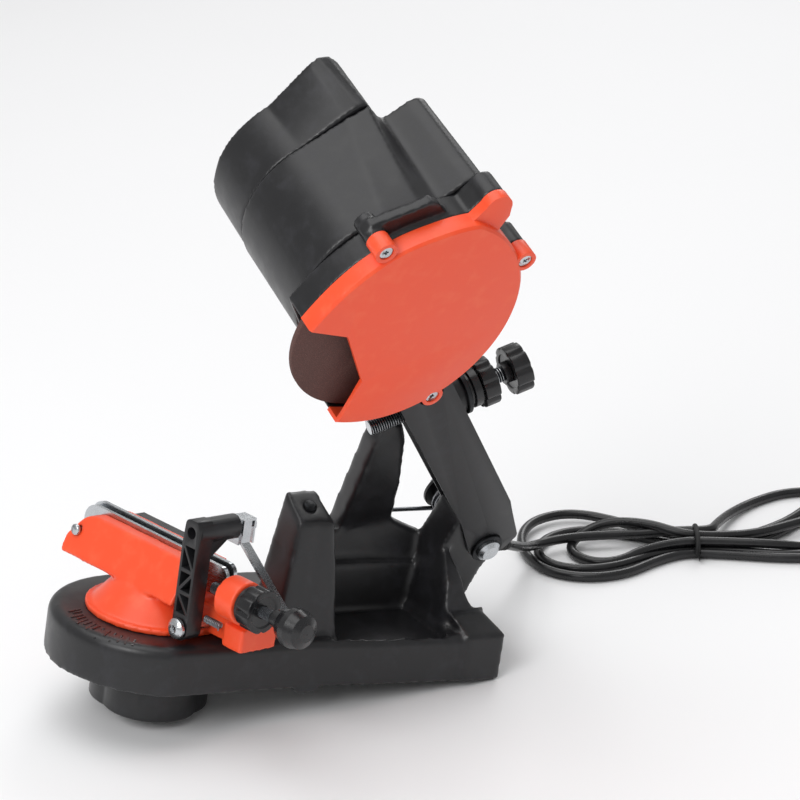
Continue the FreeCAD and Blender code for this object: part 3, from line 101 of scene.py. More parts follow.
# ------------------------------------------------------------------ finishes
def linear(code: str) -> tuple[float, float, float, float]:
    """Turns an sRGB hex code into a linear colour.

    Args:
        code: six hex digits.

    Returns:
        Red, green, blue and alpha.
    """
    parts = [int(code[i:i + 2], 16) / 255.0 for i in (0, 2, 4)]
    low = [c / 12.92 if c <= 0.04045 else ((c + 0.055) / 1.055) ** 2.4 for c in parts]
    return (low[0], low[1], low[2], 1.0)


def scale_of(size: float) -> float:
    """Turns the size of a pattern in millimetres into its scale."""
    return 1.0 / (size * MM)


def add_node(tree: bpy.types.NodeTree, kind: str, sockets: dict | None = None,
             settings: dict | None = None,
             stops: tuple[tuple[float, str], ...] = ()) -> bpy.types.Node:
    """Adds one shader node with its values, links, properties and colour stops.

    Args:
        tree: node tree that gets the node.
        kind: Blender's name of the node type.
        sockets: input name or number to a value, to another node's output, or to another
            node, whose first output is then wired.
        settings: node properties.
        stops: places and hex codes of a colour ramp, low to high.

    Returns:
        The new node.
    """
    node = tree.nodes.new(kind)
    for key, value in (settings or {}).items():
        setattr(node, key, value)
    for key, value in (sockets or {}).items():
        if isinstance(value, bpy.types.Node):
            value = value.outputs[0]
        if isinstance(value, bpy.types.NodeSocket):
            tree.links.new(value, node.inputs[key])
        else:
            node.inputs[key].default_value = value
    if stops:
        marks = node.color_ramp.elements
        marks[0].position, marks[0].color = stops[0][0], linear(stops[0][1])
        marks[1].position, marks[1].color = stops[-1][0], linear(stops[-1][1])
        for place, code in stops[1:-1]:
            marks.new(place).color = linear(code)
    return node


@dataclass(frozen=True)
class Finish:
    """What a surface is made of and how it was made.

    Attributes:
        name: common name of the material and of how its surface was made.
        colour: main colour as an sRGB hex code.
    """

    name: str
    colour: str

    def surface(self, tree: bpy.types.NodeTree, place: bpy.types.NodeSocket) -> dict:
        """Gives the inputs of the surface shader.

        Args:
            tree: the material's node tree.
            place: object coordinates.

        Returns:
            Input name to its value or to another node's output.
        """
        raise NotImplementedError

    def make(self) -> bpy.types.Material:
        """Builds the node material.

        Returns:
            The material.
        """
        material = bpy.data.materials.new(self.name)
        material.use_nodes = True
        tree = material.node_tree
        tree.nodes.clear()
        place = add_node(tree, "ShaderNodeTexCoord").outputs["Object"]
        shader = add_node(tree, "ShaderNodeBsdfPrincipled", self.surface(tree, place))
        add_node(tree, "ShaderNodeOutputMaterial", {"Surface": shader})
        return material


@dataclass(frozen=True)
class MouldedPlastic(Finish):
    """Injection moulded plastic with a spark-eroded grain and slight handling marks.

    The real grain is about 0.1 mm and is drawn coarser, so that it shows.

    Attributes:
        worn: colour of the handled places.
        gloss: middle roughness.
        grain: size of the grain in millimetres.
        depth: depth of the grain in millimetres.
    """

    worn: str
    gloss: float = 0.42
    grain: float = 0.5
    depth: float = 0.03

    def surface(self, tree: bpy.types.NodeTree, place: bpy.types.NodeSocket) -> dict:
        """Even tone with handled places and a fine grain.

        Args:
            tree: the material's node tree.
            place: object coordinates.

        Returns:
            The shader's inputs.
        """
        broad = add_node(tree, "ShaderNodeTexNoise", {
            "Vector": place, "Scale": scale_of(PATCH), "Detail": 5.0, "Roughness": 0.6})
        fine = add_node(tree, "ShaderNodeTexNoise", {
            "Vector": place, "Scale": scale_of(self.grain), "Detail": 2.0})
        tone = add_node(tree, "ShaderNodeValToRGB", {"Fac": broad},
                        stops=((0.3, self.colour), (0.5, self.colour), (0.75, self.worn)))
        gloss = add_node(tree, "ShaderNodeMapRange", MIDDLE | {
            "Value": broad, "To Min": self.gloss - 0.05, "To Max": self.gloss + 0.07})
        relief = add_node(tree, "ShaderNodeBump", {
            "Height": fine, "Strength": 0.6, "Distance": self.depth * MM})
        return {"Base Color": tone, "Roughness": gloss, "IOR": 1.5, "Normal": relief}


@dataclass(frozen=True)
class Metal(Finish):
    """Turned, rolled or plated metal with fine marks along one direction.

    Attributes:
        stain: colour of the duller places.
        gloss: middle roughness.
        stretch: scale of the marks along each axis.
        turn: turn of the marks in degrees.
        grain: size of the marks in millimetres, drawn coarser than they are.
        depth: depth of the marks in millimetres.
    """

    stain: str
    gloss: float = 0.3
    stretch: Point = (1.0, 1.0, 1.0)
    turn: Point = (0.0, 0.0, 0.0)
    grain: float = 0.7
    depth: float = 0.01

    def surface(self, tree: bpy.types.NodeTree, place: bpy.types.NodeSocket) -> dict:
        """Cloudy metal with marks that run one way.

        Args:
            tree: the material's node tree.
            place: object coordinates.

        Returns:
            The shader's inputs.
        """
        along = add_node(tree, "ShaderNodeMapping", {
            "Vector": place, "Rotation": tuple(math.radians(a) for a in self.turn)})
        lines = add_node(tree, "ShaderNodeMapping", {"Vector": along, "Scale": self.stretch})
        marks = add_node(tree, "ShaderNodeTexNoise", {
            "Vector": lines, "Scale": scale_of(self.grain), "Detail": 5.0, "Roughness": 0.65})
        cloud = add_node(tree, "ShaderNodeTexNoise", {
            "Vector": place, "Scale": scale_of(PATCH), "Detail": 4.0})
        tone = add_node(tree, "ShaderNodeValToRGB", {"Fac": cloud},
                        stops=((0.3, self.stain), (0.55, self.colour)))
        gloss = add_node(tree, "ShaderNodeMapRange", MIDDLE | {
            "Value": marks, "To Min": self.gloss - 0.08, "To Max": self.gloss + 0.1})
        relief = add_node(tree, "ShaderNodeBump", {
            "Height": marks, "Strength": 0.5, "Distance": self.depth * MM})
        return {"Base Color": tone, "Metallic": 1.0, "Roughness": gloss, "Normal": relief}


@dataclass(frozen=True)
class BondedGrit(Finish):
    """Vitrified grinding wheel: coloured grains in a darker bond, which is the main colour.

    Attributes:
        grit: colour of the grains.
        spark: colour of the brightest grains.
        grain: size of the grains in millimetres.
        speck: size of the coloured specks.
        depth: how far the grains stand out.
    """

    grit: str
    spark: str
    grain: float = 0.45
    speck: float = 0.35
    depth: float = 0.09

    def surface(self, tree: bpy.types.NodeTree, place: bpy.types.NodeSocket) -> dict:
        """Grains that stand out of the bond.

        Args:
            tree: the material's node tree.
            place: object coordinates.

        Returns:
            The shader's inputs.
        """
        grains = add_node(tree, "ShaderNodeTexVoronoi",
                          {"Vector": place, "Scale": scale_of(self.grain)}, {"feature": "F1"})
        fine = add_node(tree, "ShaderNodeTexNoise", {
            "Vector": place, "Scale": scale_of(self.speck), "Detail": 3.0, "Roughness": 0.7})
        tone = add_node(tree, "ShaderNodeValToRGB", {"Fac": fine},
                        stops=((0.3, self.colour), (0.52, self.grit), (0.72, self.spark)))
        gloss = add_node(tree, "ShaderNodeMapRange",
                         MIDDLE | {"Value": fine, "To Min": 0.72, "To Max": 0.92})
        relief = add_node(tree, "ShaderNodeBump", {
            "Height": grains, "Strength": 0.9, "Distance": self.depth * MM})
        return {"Base Color": tone, "Roughness": gloss, "IOR": 1.6, "Normal": relief}


@dataclass(frozen=True)
class StudioPaper(Finish):
    """Seamless pale studio floor."""

    def surface(self, tree: bpy.types.NodeTree, place: bpy.types.NodeSocket) -> dict:
        """Even paper whose sheen wanders a little.

        Args:
            tree: the material's node tree.
            place: object coordinates.

        Returns:
            The shader's inputs.
        """
        cloud = add_node(tree, "ShaderNodeTexNoise", {
            "Vector": place, "Scale": scale_of(300.0), "Detail": 2.0})
        gloss = add_node(tree, "ShaderNodeMapRange",
                         MIDDLE | {"Value": cloud, "To Min": 0.62, "To Max": 0.7})
        return {"Base Color": linear(self.colour), "Roughness": gloss, "IOR": 1.45}


class Finishes:
    """All finishes of the machine, each made once."""

    def __init__(self) -> None:
        """Makes the materials."""
        # Near black with an even grain and a soft grey sheen on every rounded edge.
        self.black = MouldedPlastic("black glass-filled nylon, injection moulded",
                                    "1A1A1C", "26262A", gloss=0.36, grain=0.55).make()
        # The same black with clearer highlights, as on small turned and polished tools.
        self.smooth_black = MouldedPlastic("black ABS, injection moulded smooth", "1A1A1C",
                                           "222224", gloss=0.26, grain=0.4, depth=0.012).make()
        # Full warm orange that stays saturated under its satin highlights.
        self.orange = MouldedPlastic("orange ABS, injection moulded satin", "F4512A", "F65E38",
                                     gloss=0.34, grain=0.6, depth=0.02).make()
        # Cool light grey with small bright highlights.
        self.zinc = Metal("mild steel, zinc plated", "C9CCCF", "B4B8BC", gloss=0.27, grain=0.5,
                          depth=0.008).make()
        # Darker, even grey metal.
        self.machined = Metal("carbon steel, turned", "A9ACB0", "989CA1", gloss=0.28).make()
        # Bright strip with streaks along its length.
        self.rail = Metal("spring steel strip, cold rolled and brushed", "C4C7CA", "AEB2B6",
                          gloss=0.25, stretch=(1.0, 0.05, 1.0), turn=(0.0, 0.0, -14.0),
                          grain=0.35, depth=0.008).make()
        # Grey wire with dark stains.
        self.spring = Metal("spring steel wire, drawn", "9A9CA0", "7C7E83").make()
        # Dull and dark painted shade for the flanks and roots of a thread, so that its crests stand
        # out bright.
        self.root = Metal("mild steel, zinc plated, with painted shade in the thread", "5A5D61", "4A4D50",
                          gloss=0.4).make()
        # Almost black metal with a dull shine.
        self.dark_steel = Metal("screw steel, phosphated black", "3A3B3D", "2C2D2F",
                                gloss=0.42).make()
        # Fine dark lines across the stack.
        self.core = Metal("electrical steel, stacked sheets", "7E8186", "6B6E73", gloss=0.42,
                          stretch=(1.0, 1.0, 6.0)).make()
        # Reddish brown under clear lacquer.
        self.copper = Metal("copper winding wire, enamelled", "B5653A", "A2542B").make()
        # Pale yellowish metal.
        self.brass = Metal("brass, turned and nickel plated", "CFC7A6", "BDB48F",
                           gloss=0.26).make()
        # Dull dark red with lighter sparks.
        self.wheel = BondedGrit("aluminium oxide wheel, vitrified bond", "3B2420", "55352F",
                                "7A5750").make()
        # Flat black.
        self.carbon = MouldedPlastic("carbon brush block, pressed", "1B1B1C", "242425",
                                     gloss=0.6).make()
        # Matt black without highlights.
        self.rubber = MouldedPlastic("black rubber, moulded", "171718", "1F1F20", gloss=0.7,
                                     grain=0.8).make()
        # Black with a long highlight along the lead.
        self.sheath = MouldedPlastic("black PVC cord sheath, extruded", "161618", "1E1E20",
                                     gloss=0.28, grain=1.2, depth=0.02).make()
        # Almost white and matt.
        self.floor = StudioPaper("pale studio paper", "F3F3F4").make()

    def by_slot(self) -> dict[str, bpy.types.Material]:
        """Gives the finish of each material slot of the record.

        Returns:
            Slot name to its material.
        """
        return {"black_plastic": self.black, "orange_plastic": self.orange,
                "plated_steel": self.zinc, "machined_steel": self.machined,
                "guide_steel": self.rail, "spring_steel": self.spring, "abrasive": self.wheel,
                "core_steel": self.core, "copper": self.copper, "carbon": self.carbon,
                "pin_brass": self.brass, "rubber": self.rubber, "lead_sheath": self.sheath}


# -------------------------------------------------------------------- helpers
def clear_selection() -> None:
    """Leaves edit mode and deselects every object."""
    if bpy.context.object and bpy.context.object.mode != "OBJECT":
        bpy.ops.object.mode_set(mode="OBJECT")
    bpy.ops.object.select_all(action="DESELECT")


def take(obj: bpy.types.Object) -> None:
    """Makes one object the only selected and active one.

    Args:
        obj: the object.
    """
    clear_selection()
    obj.select_set(True)
    bpy.context.view_layer.objects.active = obj


def join(first: bpy.types.Object, *others: bpy.types.Object) -> None:
    """Joins objects into one.

    Args:
        first: object that takes in the rest.
        others: objects that are joined into it.
    """
    take(first)
    for other in others:
        other.select_set(True)
    bpy.ops.object.join()


def add_object(name: str, data: bpy.types.ID) -> bpy.types.Object:
    """Adds an object to the scene.

    Args:
        name: its plain name.
        data: mesh, curve, camera or lamp data.

    Returns:
        The object.
    """
    obj = bpy.data.objects.new(name, data)
    bpy.context.scene.collection.objects.link(obj)
    return obj


def settle(obj: bpy.types.Object, frame_at: Matrix) -> None:
    """Puts an object's place into its mesh and leaves the object at the origin.

    Args:
        obj: the object.
        frame_at: frame that the object is measured in.
    """
    obj.data.transform(frame_at @ obj.matrix_world)
    obj.matrix_world = Matrix.Identity(4)
    obj.data.update()


def cylinder(radius: float, length: float, sides: int, lift: float = 0.0) -> bpy.types.Object:
    """Adds a cylinder that stands on its own ground plane.

    Args:
        radius: radius in millimetres.
        length: length in millimetres.
        sides: faces round it.
        lift: height of its lower end in millimetres.

    Returns:
        The cylinder.
    """
    clear_selection()
    bpy.ops.mesh.primitive_cylinder_add(vertices=sides, radius=radius * MM, depth=length * MM,
                                        location=(0.0, 0.0, (lift + length / 2) * MM))
    obj = bpy.context.object
    settle(obj, Matrix.Identity(4))
    return obj


def block(size: Point, centre: Point) -> bpy.types.Object:
    """Adds a box.

    Args:
        size: its three sides in millimetres.
        centre: its middle in millimetres.

    Returns:
        The box.
    """
    clear_selection()
    bpy.ops.mesh.primitive_cube_add(size=1.0)
    obj = bpy.context.object
    obj.data.transform(Matrix.Diagonal((*(s * MM for s in size), 1.0)))
    obj.data.transform(moved(*centre))
    return obj


def pick(obj: bpy.types.Object, kind: str, test: Callable[..., bool]) -> None:
    """Selects the faces, edges or vertices that pass a test, in edit mode.

    Args:
        obj: mesh object.
        kind: FACE, EDGE or VERT.
        test: function of a bmesh element of that kind.
    """
    take(obj)
    bpy.ops.object.mode_set(mode="EDIT")
    bpy.ops.mesh.select_mode(type=kind)
    bpy.ops.mesh.select_all(action="DESELECT")
    mesh = bmesh.from_edit_mesh(obj.data)
    rows = {"FACE": mesh.faces, "EDGE": mesh.edges, "VERT": mesh.verts}[kind]
    for element in rows:
        element.select_set(bool(test(element)))
    mesh.select_flush_mode()
    bmesh.update_edit_mesh(obj.data)


def object_mode() -> None:
    """Goes back to object mode."""
    bpy.ops.object.mode_set(mode="OBJECT")


def smooth(obj: bpy.types.Object, degrees: float) -> None:
    """Smooth shading that keeps real edges sharp."""
    take(obj)
    bpy.ops.object.shade_smooth_by_angle(angle=math.radians(degrees))


def apply_modifiers(obj: bpy.types.Object) -> None:
    """Applies every modifier of an object in order.

    Args:
        obj: the object.
    """
    take(obj)
    for modifier in list(obj.modifiers):
        bpy.ops.object.modifier_apply(modifier=modifier.name)


def ease_edges(obj: bpy.types.Object, width: float, segments: int, degrees: float,
               outer: str = "MITER_SHARP") -> None:
    """Rounds the edges of a piece.

    Args:
        obj: the piece.
        width: width of the rounding in millimetres.
        segments: faces across the rounding.
        degrees: smallest edge angle that is rounded.
        outer: Blender's name for how outer corners meet.
    """
    bevel = obj.modifiers.new("ease", "BEVEL")
    bevel.width = width * MM
    bevel.segments = segments
    bevel.limit_method = "ANGLE"
    bevel.angle_limit = math.radians(degrees)
    bevel.miter_outer = outer
    apply_modifiers(obj)


def cut_away(obj: bpy.types.Object, tool: bpy.types.Object, crossed: bool = False) -> None:
    """Cuts a tool's shape out of a piece and removes the tool.

    Args:
        obj: the piece.
        tool: closed mesh object.
        crossed: whether the tool's own parts cross each other.
    """
    cut = obj.modifiers.new("cut", "BOOLEAN")
    cut.operation = "DIFFERENCE"
    cut.solver = "EXACT"
    cut.use_self = crossed
    cut.object = tool
    apply_modifiers(obj)
    bpy.data.objects.remove(tool)


def copy_of(node: str) -> bpy.types.Object:
    """Copies a CAD node's mesh to a new object and merges its loose triangles.

    Args:
        node: name of the node.

    Returns:
        The copy.
    """
    obj = add_object(node + "_soft", frame["nodes"][node].data.copy())
    take(obj)
    bpy.ops.object.mode_set(mode="EDIT")
    bpy.ops.mesh.select_all(action="SELECT")
    bpy.ops.mesh.remove_doubles(threshold=COPY_MERGE)
    bpy.ops.mesh.dissolve_limited(angle_limit=math.radians(FLAT))
    object_mode()
    return obj


def finish_piece(obj: bpy.types.Object, name: str, body: Body, slot: str,
                 material: bpy.types.Material, *nodes: str) -> bpy.types.Object:
    """Names, dresses and declares one finished piece.

    Args:
        obj: the piece.
        name: its plain name.
        body: moving body it rides on.
        slot: material slot of the record; not used.
        material: finish.
        nodes: CAD nodes it stands for.

    Returns:
        The piece.
    """
    obj.name = name
    obj.data.name = name
    obj.data.materials.clear()
    obj.data.materials.append(material)
    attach(obj, body.value)
    if nodes:
        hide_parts(*nodes)
    count = sum(len(face.vertices) - 2 for face in obj.data.polygons)
    LOG.info("%s on %s, %d triangles", name, body.value, count)
    return obj


# ----------------------------------------------------------- kinds of moulding
@dataclass
class Casting:
    """A moulded piece whose edges are eased as its mould leaves them.

    Attributes:
        node: CAD node it is made from.
        body: moving body.
        slot: material slot.
        ease: edge radius in millimetres.
        angle: smallest edge angle that is eased, in degrees.
        segments: faces across an eased edge.
    """

    node: str
    body: Body
    slot: str
    ease: float = 0.6
    angle: float = 38.0
    segments: int = 2

    def build(self, material: bpy.types.Material) -> bpy.types.Object:
        """Models and dresses the piece.

        Args:
            material: finish.

        Returns:
            The piece.
        """
        obj = copy_of(self.node)
        ease_edges(obj, self.ease, self.segments, self.angle, "MITER_ARC")
        smooth(obj, 40.0)
        return finish_piece(obj, self.node + "_moulded", self.body, self.slot, material, self.node)


@dataclass
class Ridge:
    """Raised crest along the motor casing, measured in the head's frame in millimetres.

    Attributes:
        place: where the crest runs, across the casing.
        spread: how fast the lift falls off to the sides.
        front: where the lift begins, along the casing.
        run: length over which it grows to its full height.
        lift: full lift.
    """

    place: tuple[float, float] = (-137.5, 225.0)
    spread: float = 60.0
    front: float = -11.0
    run: float = 60.0
    lift: Point = (-0.6, 3.2, 0.0)

    def raise_on(self, obj: bpy.types.Object) -> None:
        """Lifts the crest so that it runs on flush from the rear cap and fades forward.

        Args:
            obj: the casing.
        """
        back = HEAD.inverted()
        for vertex in obj.data.vertices:
            at = (back @ vertex.co) / MM
            away = (at.x - self.place[0]) ** 2 + (at.y - self.place[1]) ** 2
            fade = max(0.0, min(1.0, (self.front - at.z) / self.run))
            share = math.exp(-away / self.spread) * fade
            vertex.co = HEAD @ ((at + Vector(self.lift) * share) * MM)


@dataclass
class SoftMoulding:
    """A large moulding whose walls run into each other with full blends.

    Attributes:
        node: CAD node it is made from.
        body: moving body.
        slot: material slot.
        grid: size of the remeshed faces in millimetres.
        rounds: passes that soften the whole piece.
        blend: further passes inside the blended zone.
        zone: low and high corner of that zone in the deck's frame, in millimetres.
        trim: low and high corner of a block that is cut off, in the same frame.
        ridge: crest that is raised on it.
        border: width over which the blended zone fades in, in millimetres.
    """

    node: str
    body: Body
    slot: str
    grid: float
    rounds: int
    blend: int = 0
    zone: Zone | None = None
    trim: Zone | None = None
    ridge: Ridge | None = None
    border: float = 6.0

    def zone_weight(self, point: Vector) -> float:
        """How far a point lies in the blended zone.

        Args:
            point: place in metres.

        Returns:
            From 0 outside to 1 further in than the border.
        """
        local = BENCH.inverted() @ point
        low, high = self.zone
        inside = min(min(local[i] / MM - low[i], high[i] - local[i] / MM) for i in range(3))
        return max(0.0, min(1.0, inside / self.border))

    def cut_back(self, obj: bpy.types.Object) -> None:
        """Cuts off the thin end of a rib that would run on past the piece's edge.

        Args:
            obj: the piece.
        """
        low, high = self.trim
        tool = block(tuple(top - bottom for bottom, top in zip(low, high)),
                     tuple((top + bottom) / 2 for bottom, top in zip(low, high)))
        settle(tool, BENCH)
        cut_away(obj, tool)

    def mark_zone(self, obj: bpy.types.Object) -> bpy.types.VertexGroup:
        """Marks the vertices of the blended zone.

        Args:
            obj: the piece.

        Returns:
            The vertex group.
        """
        group = obj.vertex_groups.new(name="blend")
        for vertex in obj.data.vertices:
            weight = self.zone_weight(vertex.co)
            if weight > 0.0:
                group.add([vertex.index], weight, "REPLACE")
        return group

    @staticmethod
    def soften(obj: bpy.types.Object, rounds: int, group: str = "") -> None:
        """Adds smoothing passes.

        Args:
            obj: the piece.
            rounds: number of passes.
            group: vertex group they are held to, or nothing for the whole piece.
        """
        ease = obj.modifiers.new("ease", "SMOOTH")
        ease.factor = 0.5
        ease.iterations = rounds
        ease.vertex_group = group

    def build(self, material: bpy.types.Material) -> bpy.types.Object:
        """Models and dresses the piece.

        Args:
            material: finish.

        Returns:
            The piece.
        """
        obj = copy_of(self.node)
        if self.trim:
            self.cut_back(obj)
        remesh = obj.modifiers.new("grid", "REMESH")
        remesh.mode = "VOXEL"
        remesh.voxel_size = self.grid * MM
        apply_modifiers(obj)
        if self.ridge:
            self.ridge.raise_on(obj)
        self.soften(obj, self.rounds)
        if self.zone:
            self.soften(obj, self.blend, self.mark_zone(obj).name)
        apply_modifiers(obj)
        obj.vertex_groups.clear()
        smooth(obj, 60.0)
        return finish_piece(obj, self.node + "_moulded", self.body, self.slot, material, self.node)


@dataclass
class HandKnob:
    """A small turned hand knob with shallow finger scallops and a dished face.

    Attributes:
        node: CAD node it stands for.
        body: moving body.
        radius: outer radius in millimetres.
        thick: thickness.
        place: frame of its lower face, own Z outward.
        bore: radius of its bore.
        hub: radius and length of the hub below the knob.
        through: whether the bore is open.
        grips: number of scallops.
        rim: share of the radius that the flat rim takes.
        step: width of the step down to the dish.
        dish: depth of the dish.
        scallop: depth of a scallop as a share of the radius.
        ease: edge radius in millimetres.
    """

    node: str
    body: Body
    radius: float
    thick: float
    place: Matrix
    bore: float
    hub: tuple[float, float] | None = None
    through: bool = False
    grips: int = 8
    rim: float = 0.26
    step: float = 0.5
    dish: float = 0.7
    scallop: float = 0.085
    ease: float = 0.9

    def dish_face(self, obj: bpy.types.Object, side: float) -> None:
        """Insets one face to a rim, a dish and the bore.

        Args:
            obj: the knob.
            side: 1 for the upper face, -1 for the lower.
        """
        floor = (self.radius * (1.0 - self.rim) - self.step - self.bore) * 0.98
        pick(obj, "FACE", lambda face: face.normal.z * side > FACING)
        for width, depth in ((self.radius * self.rim, 0.0), (self.step, -self.dish), (floor, 0.0)):
            bpy.ops.mesh.inset(thickness=width * MM, depth=depth * MM)
        if self.through:
            bpy.ops.mesh.delete(type="FACE")
        object_mode()

    def scallop_rim(self, obj: bpy.types.Object) -> None:
        """Draws the rim in for the fingers.

        Args:
            obj: the knob.
        """
        for vertex in obj.data.vertices:
            x, y = vertex.co.x, vertex.co.y
            if math.hypot(x, y) > self.radius * 0.8 * MM:
                dip = max(0.0, math.cos(self.grips * math.atan2(y, x))) ** 3
                vertex.co.x *= 1.0 - self.scallop * dip
                vertex.co.y *= 1.0 - self.scallop * dip

    def build(self, material: bpy.types.Material) -> bpy.types.Object:
        """Models and dresses the knob.

        Args:
            material: finish.

        Returns:
            The knob.
        """
        obj = cylinder(self.radius, self.thick, self.grips * 12)
        for side in (1.0, -1.0):
            self.dish_face(obj, side)
        if self.through:
            pick(obj, "EDGE", lambda edge: len(edge.link_faces) == 1)
            bpy.ops.mesh.bridge_edge_loops()
            object_mode()
        self.scallop_rim(obj)
        ease_edges(obj, width=self.ease, segments=3, degrees=50.0)
        if self.hub:
            radius, length = self.hub
            join(obj, cylinder(radius, length, 40, 0.4 - length))
        settle(obj, self.place)
        smooth(obj, 35.0)
        return finish_piece(obj, self.node + "_knob", self.body, "black_plastic", material,
                            self.node)


# ----------------------------------------------------------------- mains lead
@dataclass
class MainsLead:
    """Lead with its tied hank, strain relief, tie and plug.

    Attributes:
        radius: sheath radius in millimetres.
        exit_point: where the lead leaves the machine.
        tie_at: middle of the tie on the floor.
        tie_turn: direction of the strands at the tie, in degrees.
        tie_half: half width of the tie's loop.
        tie_tall: half height of the tie's loop.
        tie_wire: radius of the tie's wire.
        tie_lift: height of the loop's middle.
        twist_size: radius and length of the tie's twisted ends.
        twist_turn: twist over that length, in degrees.
        twist_at: where they start, from the middle of the tie.
        twist_lean: how far they lean over, in degrees.
        relief_length: length of the strain relief outside the machine.
        relief_root: radius of the strain relief inside the machine.
        flange: outer radius of its flange.
        ribs: number of ribs.
        rib_pitch: distance between ribs.
        rib_depth: depth of the grooves between ribs.
    """

    radius: float = 2.75
    exit_point: Point = (120.9, 30.4, 51.8)
    tie_at: tuple[float, float] = (278.0, 57.0)
    tie_turn: float = -30.7
    tie_half: float = 12.6
    tie_tall: float = 6.4
    tie_wire: float = 1.15
    tie_lift: float = 7.7
    twist_size: tuple[float, float] = (1.3, 7.0)
    twist_turn: float = 400.0
    twist_at: Point = (0.6, -11.2, 4.6)
    twist_lean: float = 103.0
    relief_length: float = 26.0
    relief_root: float = 4.9
    flange: float = 6.2
    ribs: int = 6
    rib_pitch: float = 3.9
    rib_depth: float = 0.9

    def at_tie(self, along: float, across: float, z: float) -> Point:
        """Point of a strand near the tie.

        Args:
            along: distance along the hank in millimetres.
            across: distance across the hank.
            z: height.

        Returns:
            The point in millimetres.
        """
        turn = math.radians(self.tie_turn)
        return (self.tie_at[0] + along * math.cos(turn) - across * math.sin(turn),
                self.tie_at[1] + along * math.sin(turn) + across * math.cos(turn), z)

    def route(self) -> list[Point]:
        """Control points of the lead, a row for each stretch between the tie and a loop.

        Returns:
            Points in millimetres, from the machine to the plug.
        """
        at = self.at_tie
        points = [(115.9, 27.2, 54.6), self.exit_point, (150.5, 49.5, 35.0),
                  (174.5, 76.0, 19.0), (191.0, 94.0, 9.5), (209.0, 97.0, 8.3), (228.0, 92.0, 8.3),
                  (252.0, 80.0, 8.5), at(-9, 8, 10.0), at(9, 8, 10.0)]
        points += [(301, 69, 8), (321, 84, 4.5), (345, 94, 2.9), (372, 97, 2.9), (396, 84, 2.9),
                   (401, 50, 2.9), (387, 18, 2.9), (356, 4, 2.9), (322, 11, 2.9),
                   at(9, -8.25, 3), at(-9, -8.25, 3)]
        points += [(246, 53, 3), (222, 47, 2.9), (200, 54, 2.9), (187, 72, 2.9), (188, 97, 3.2),
                   (199, 119, 5), (218, 133, 5.5), (243, 131, 5.5), (262, 106, 4),
                   at(-9, 8.25, 3), at(9, 8.25, 3)]
        points += [(308, 55, 3), (330, 57, 2.9), (350, 62, 2.9), (370, 72, 2.9), (390, 66, 2.9),
                   (393, 42, 2.9), (376, 20, 2.9), (348, 12, 2.9), (320, 18, 2.9),
                   at(9, -2.75, 3), at(-9, -2.75, 3)]
        points += [(248, 61, 3), (224, 58, 2.9), (203, 65, 2.9), (192, 82, 2.9), (199, 103, 2.9),
                   (218, 114, 2.9), (240, 110, 2.9), (256, 92, 3), at(-9, 2.75, 3), at(9, 2.75, 3)]
        points += [(306, 47, 3), (328, 48, 2.9), (350, 57, 2.9), (370, 60, 2.9), (379, 46, 2.9),
                   (372, 30, 2.9), (353, 22, 2.9), (333, 22, 3.5), (314, 28, 8),
                   at(9, -4, 8.6), at(-9, -4, 8.6)]
        points += [(246, 64, 6), (229, 62, 3.5), (215, 70, 2.9), (212, 88, 3.2), (225, 101, 5),
                   (243, 97, 12), (259, 80, 14), at(-9, 1.5, 11), at(9, 1.5, 9.2)]
        points += [(312, 45, 8.3), (345, 47, 8.3), (372, 46, 8.3), (384.7, 28.4, 9),
                   (388.5, 19.1, 11.5), (393.2, 10.3, 15.2), (401.6, -5.5, 15.2)]
        return points

    def make_cord(self, finishes: Finishes) -> bpy.types.Object:
        """Models the lead as one spline.

        Args:
            finishes: all finishes.

        Returns:
            The lead.
        """
        data = bpy.data.curves.new("mains_cord", "CURVE")
        data.dimensions = "3D"
        spline = data.splines.new("NURBS")
        points = self.route()
        spline.points.add(len(points) - 1)
        for knot, point in zip(spline.points, points):
            knot.co = (*(c * MM for c in point), 1.0)
        spline.order_u = 3
        spline.use_endpoint_u = True
        spline.resolution_u = 8
        data.bevel_depth = self.radius * MM
        data.bevel_resolution = 4
        data.use_fill_caps = True
        obj = add_object("mains_cord", data)
        data.materials.append(finishes.sheath)
        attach(obj, Body.BASE.value)
        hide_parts("mains_lead", "lead_hank")
        return obj

    def relief_profile(self) -> list[tuple[float, float]]:
        """Outline of the strain relief: flange, shrinking ribs and thin end.

        Returns:
            Radius and height of each ring in millimetres.
        """
        root, flange = self.relief_root, self.flange
        rings = [(root, -6.5), (flange, -6.5), (flange, -0.4), (flange - 0.6, 0.6)]
        for rib in range(self.ribs):
            low = 1.4 + rib * self.rib_pitch
            outer = 5.3 - rib * 0.36
            rings += [(outer - self.rib_depth, low), (outer, low + 0.5), (outer - 0.05, low + 2.3),
                      (outer - self.rib_depth, low + 2.8)]
        return rings + [(3.1, self.relief_length - 1.0), (2.85, self.relief_length)]

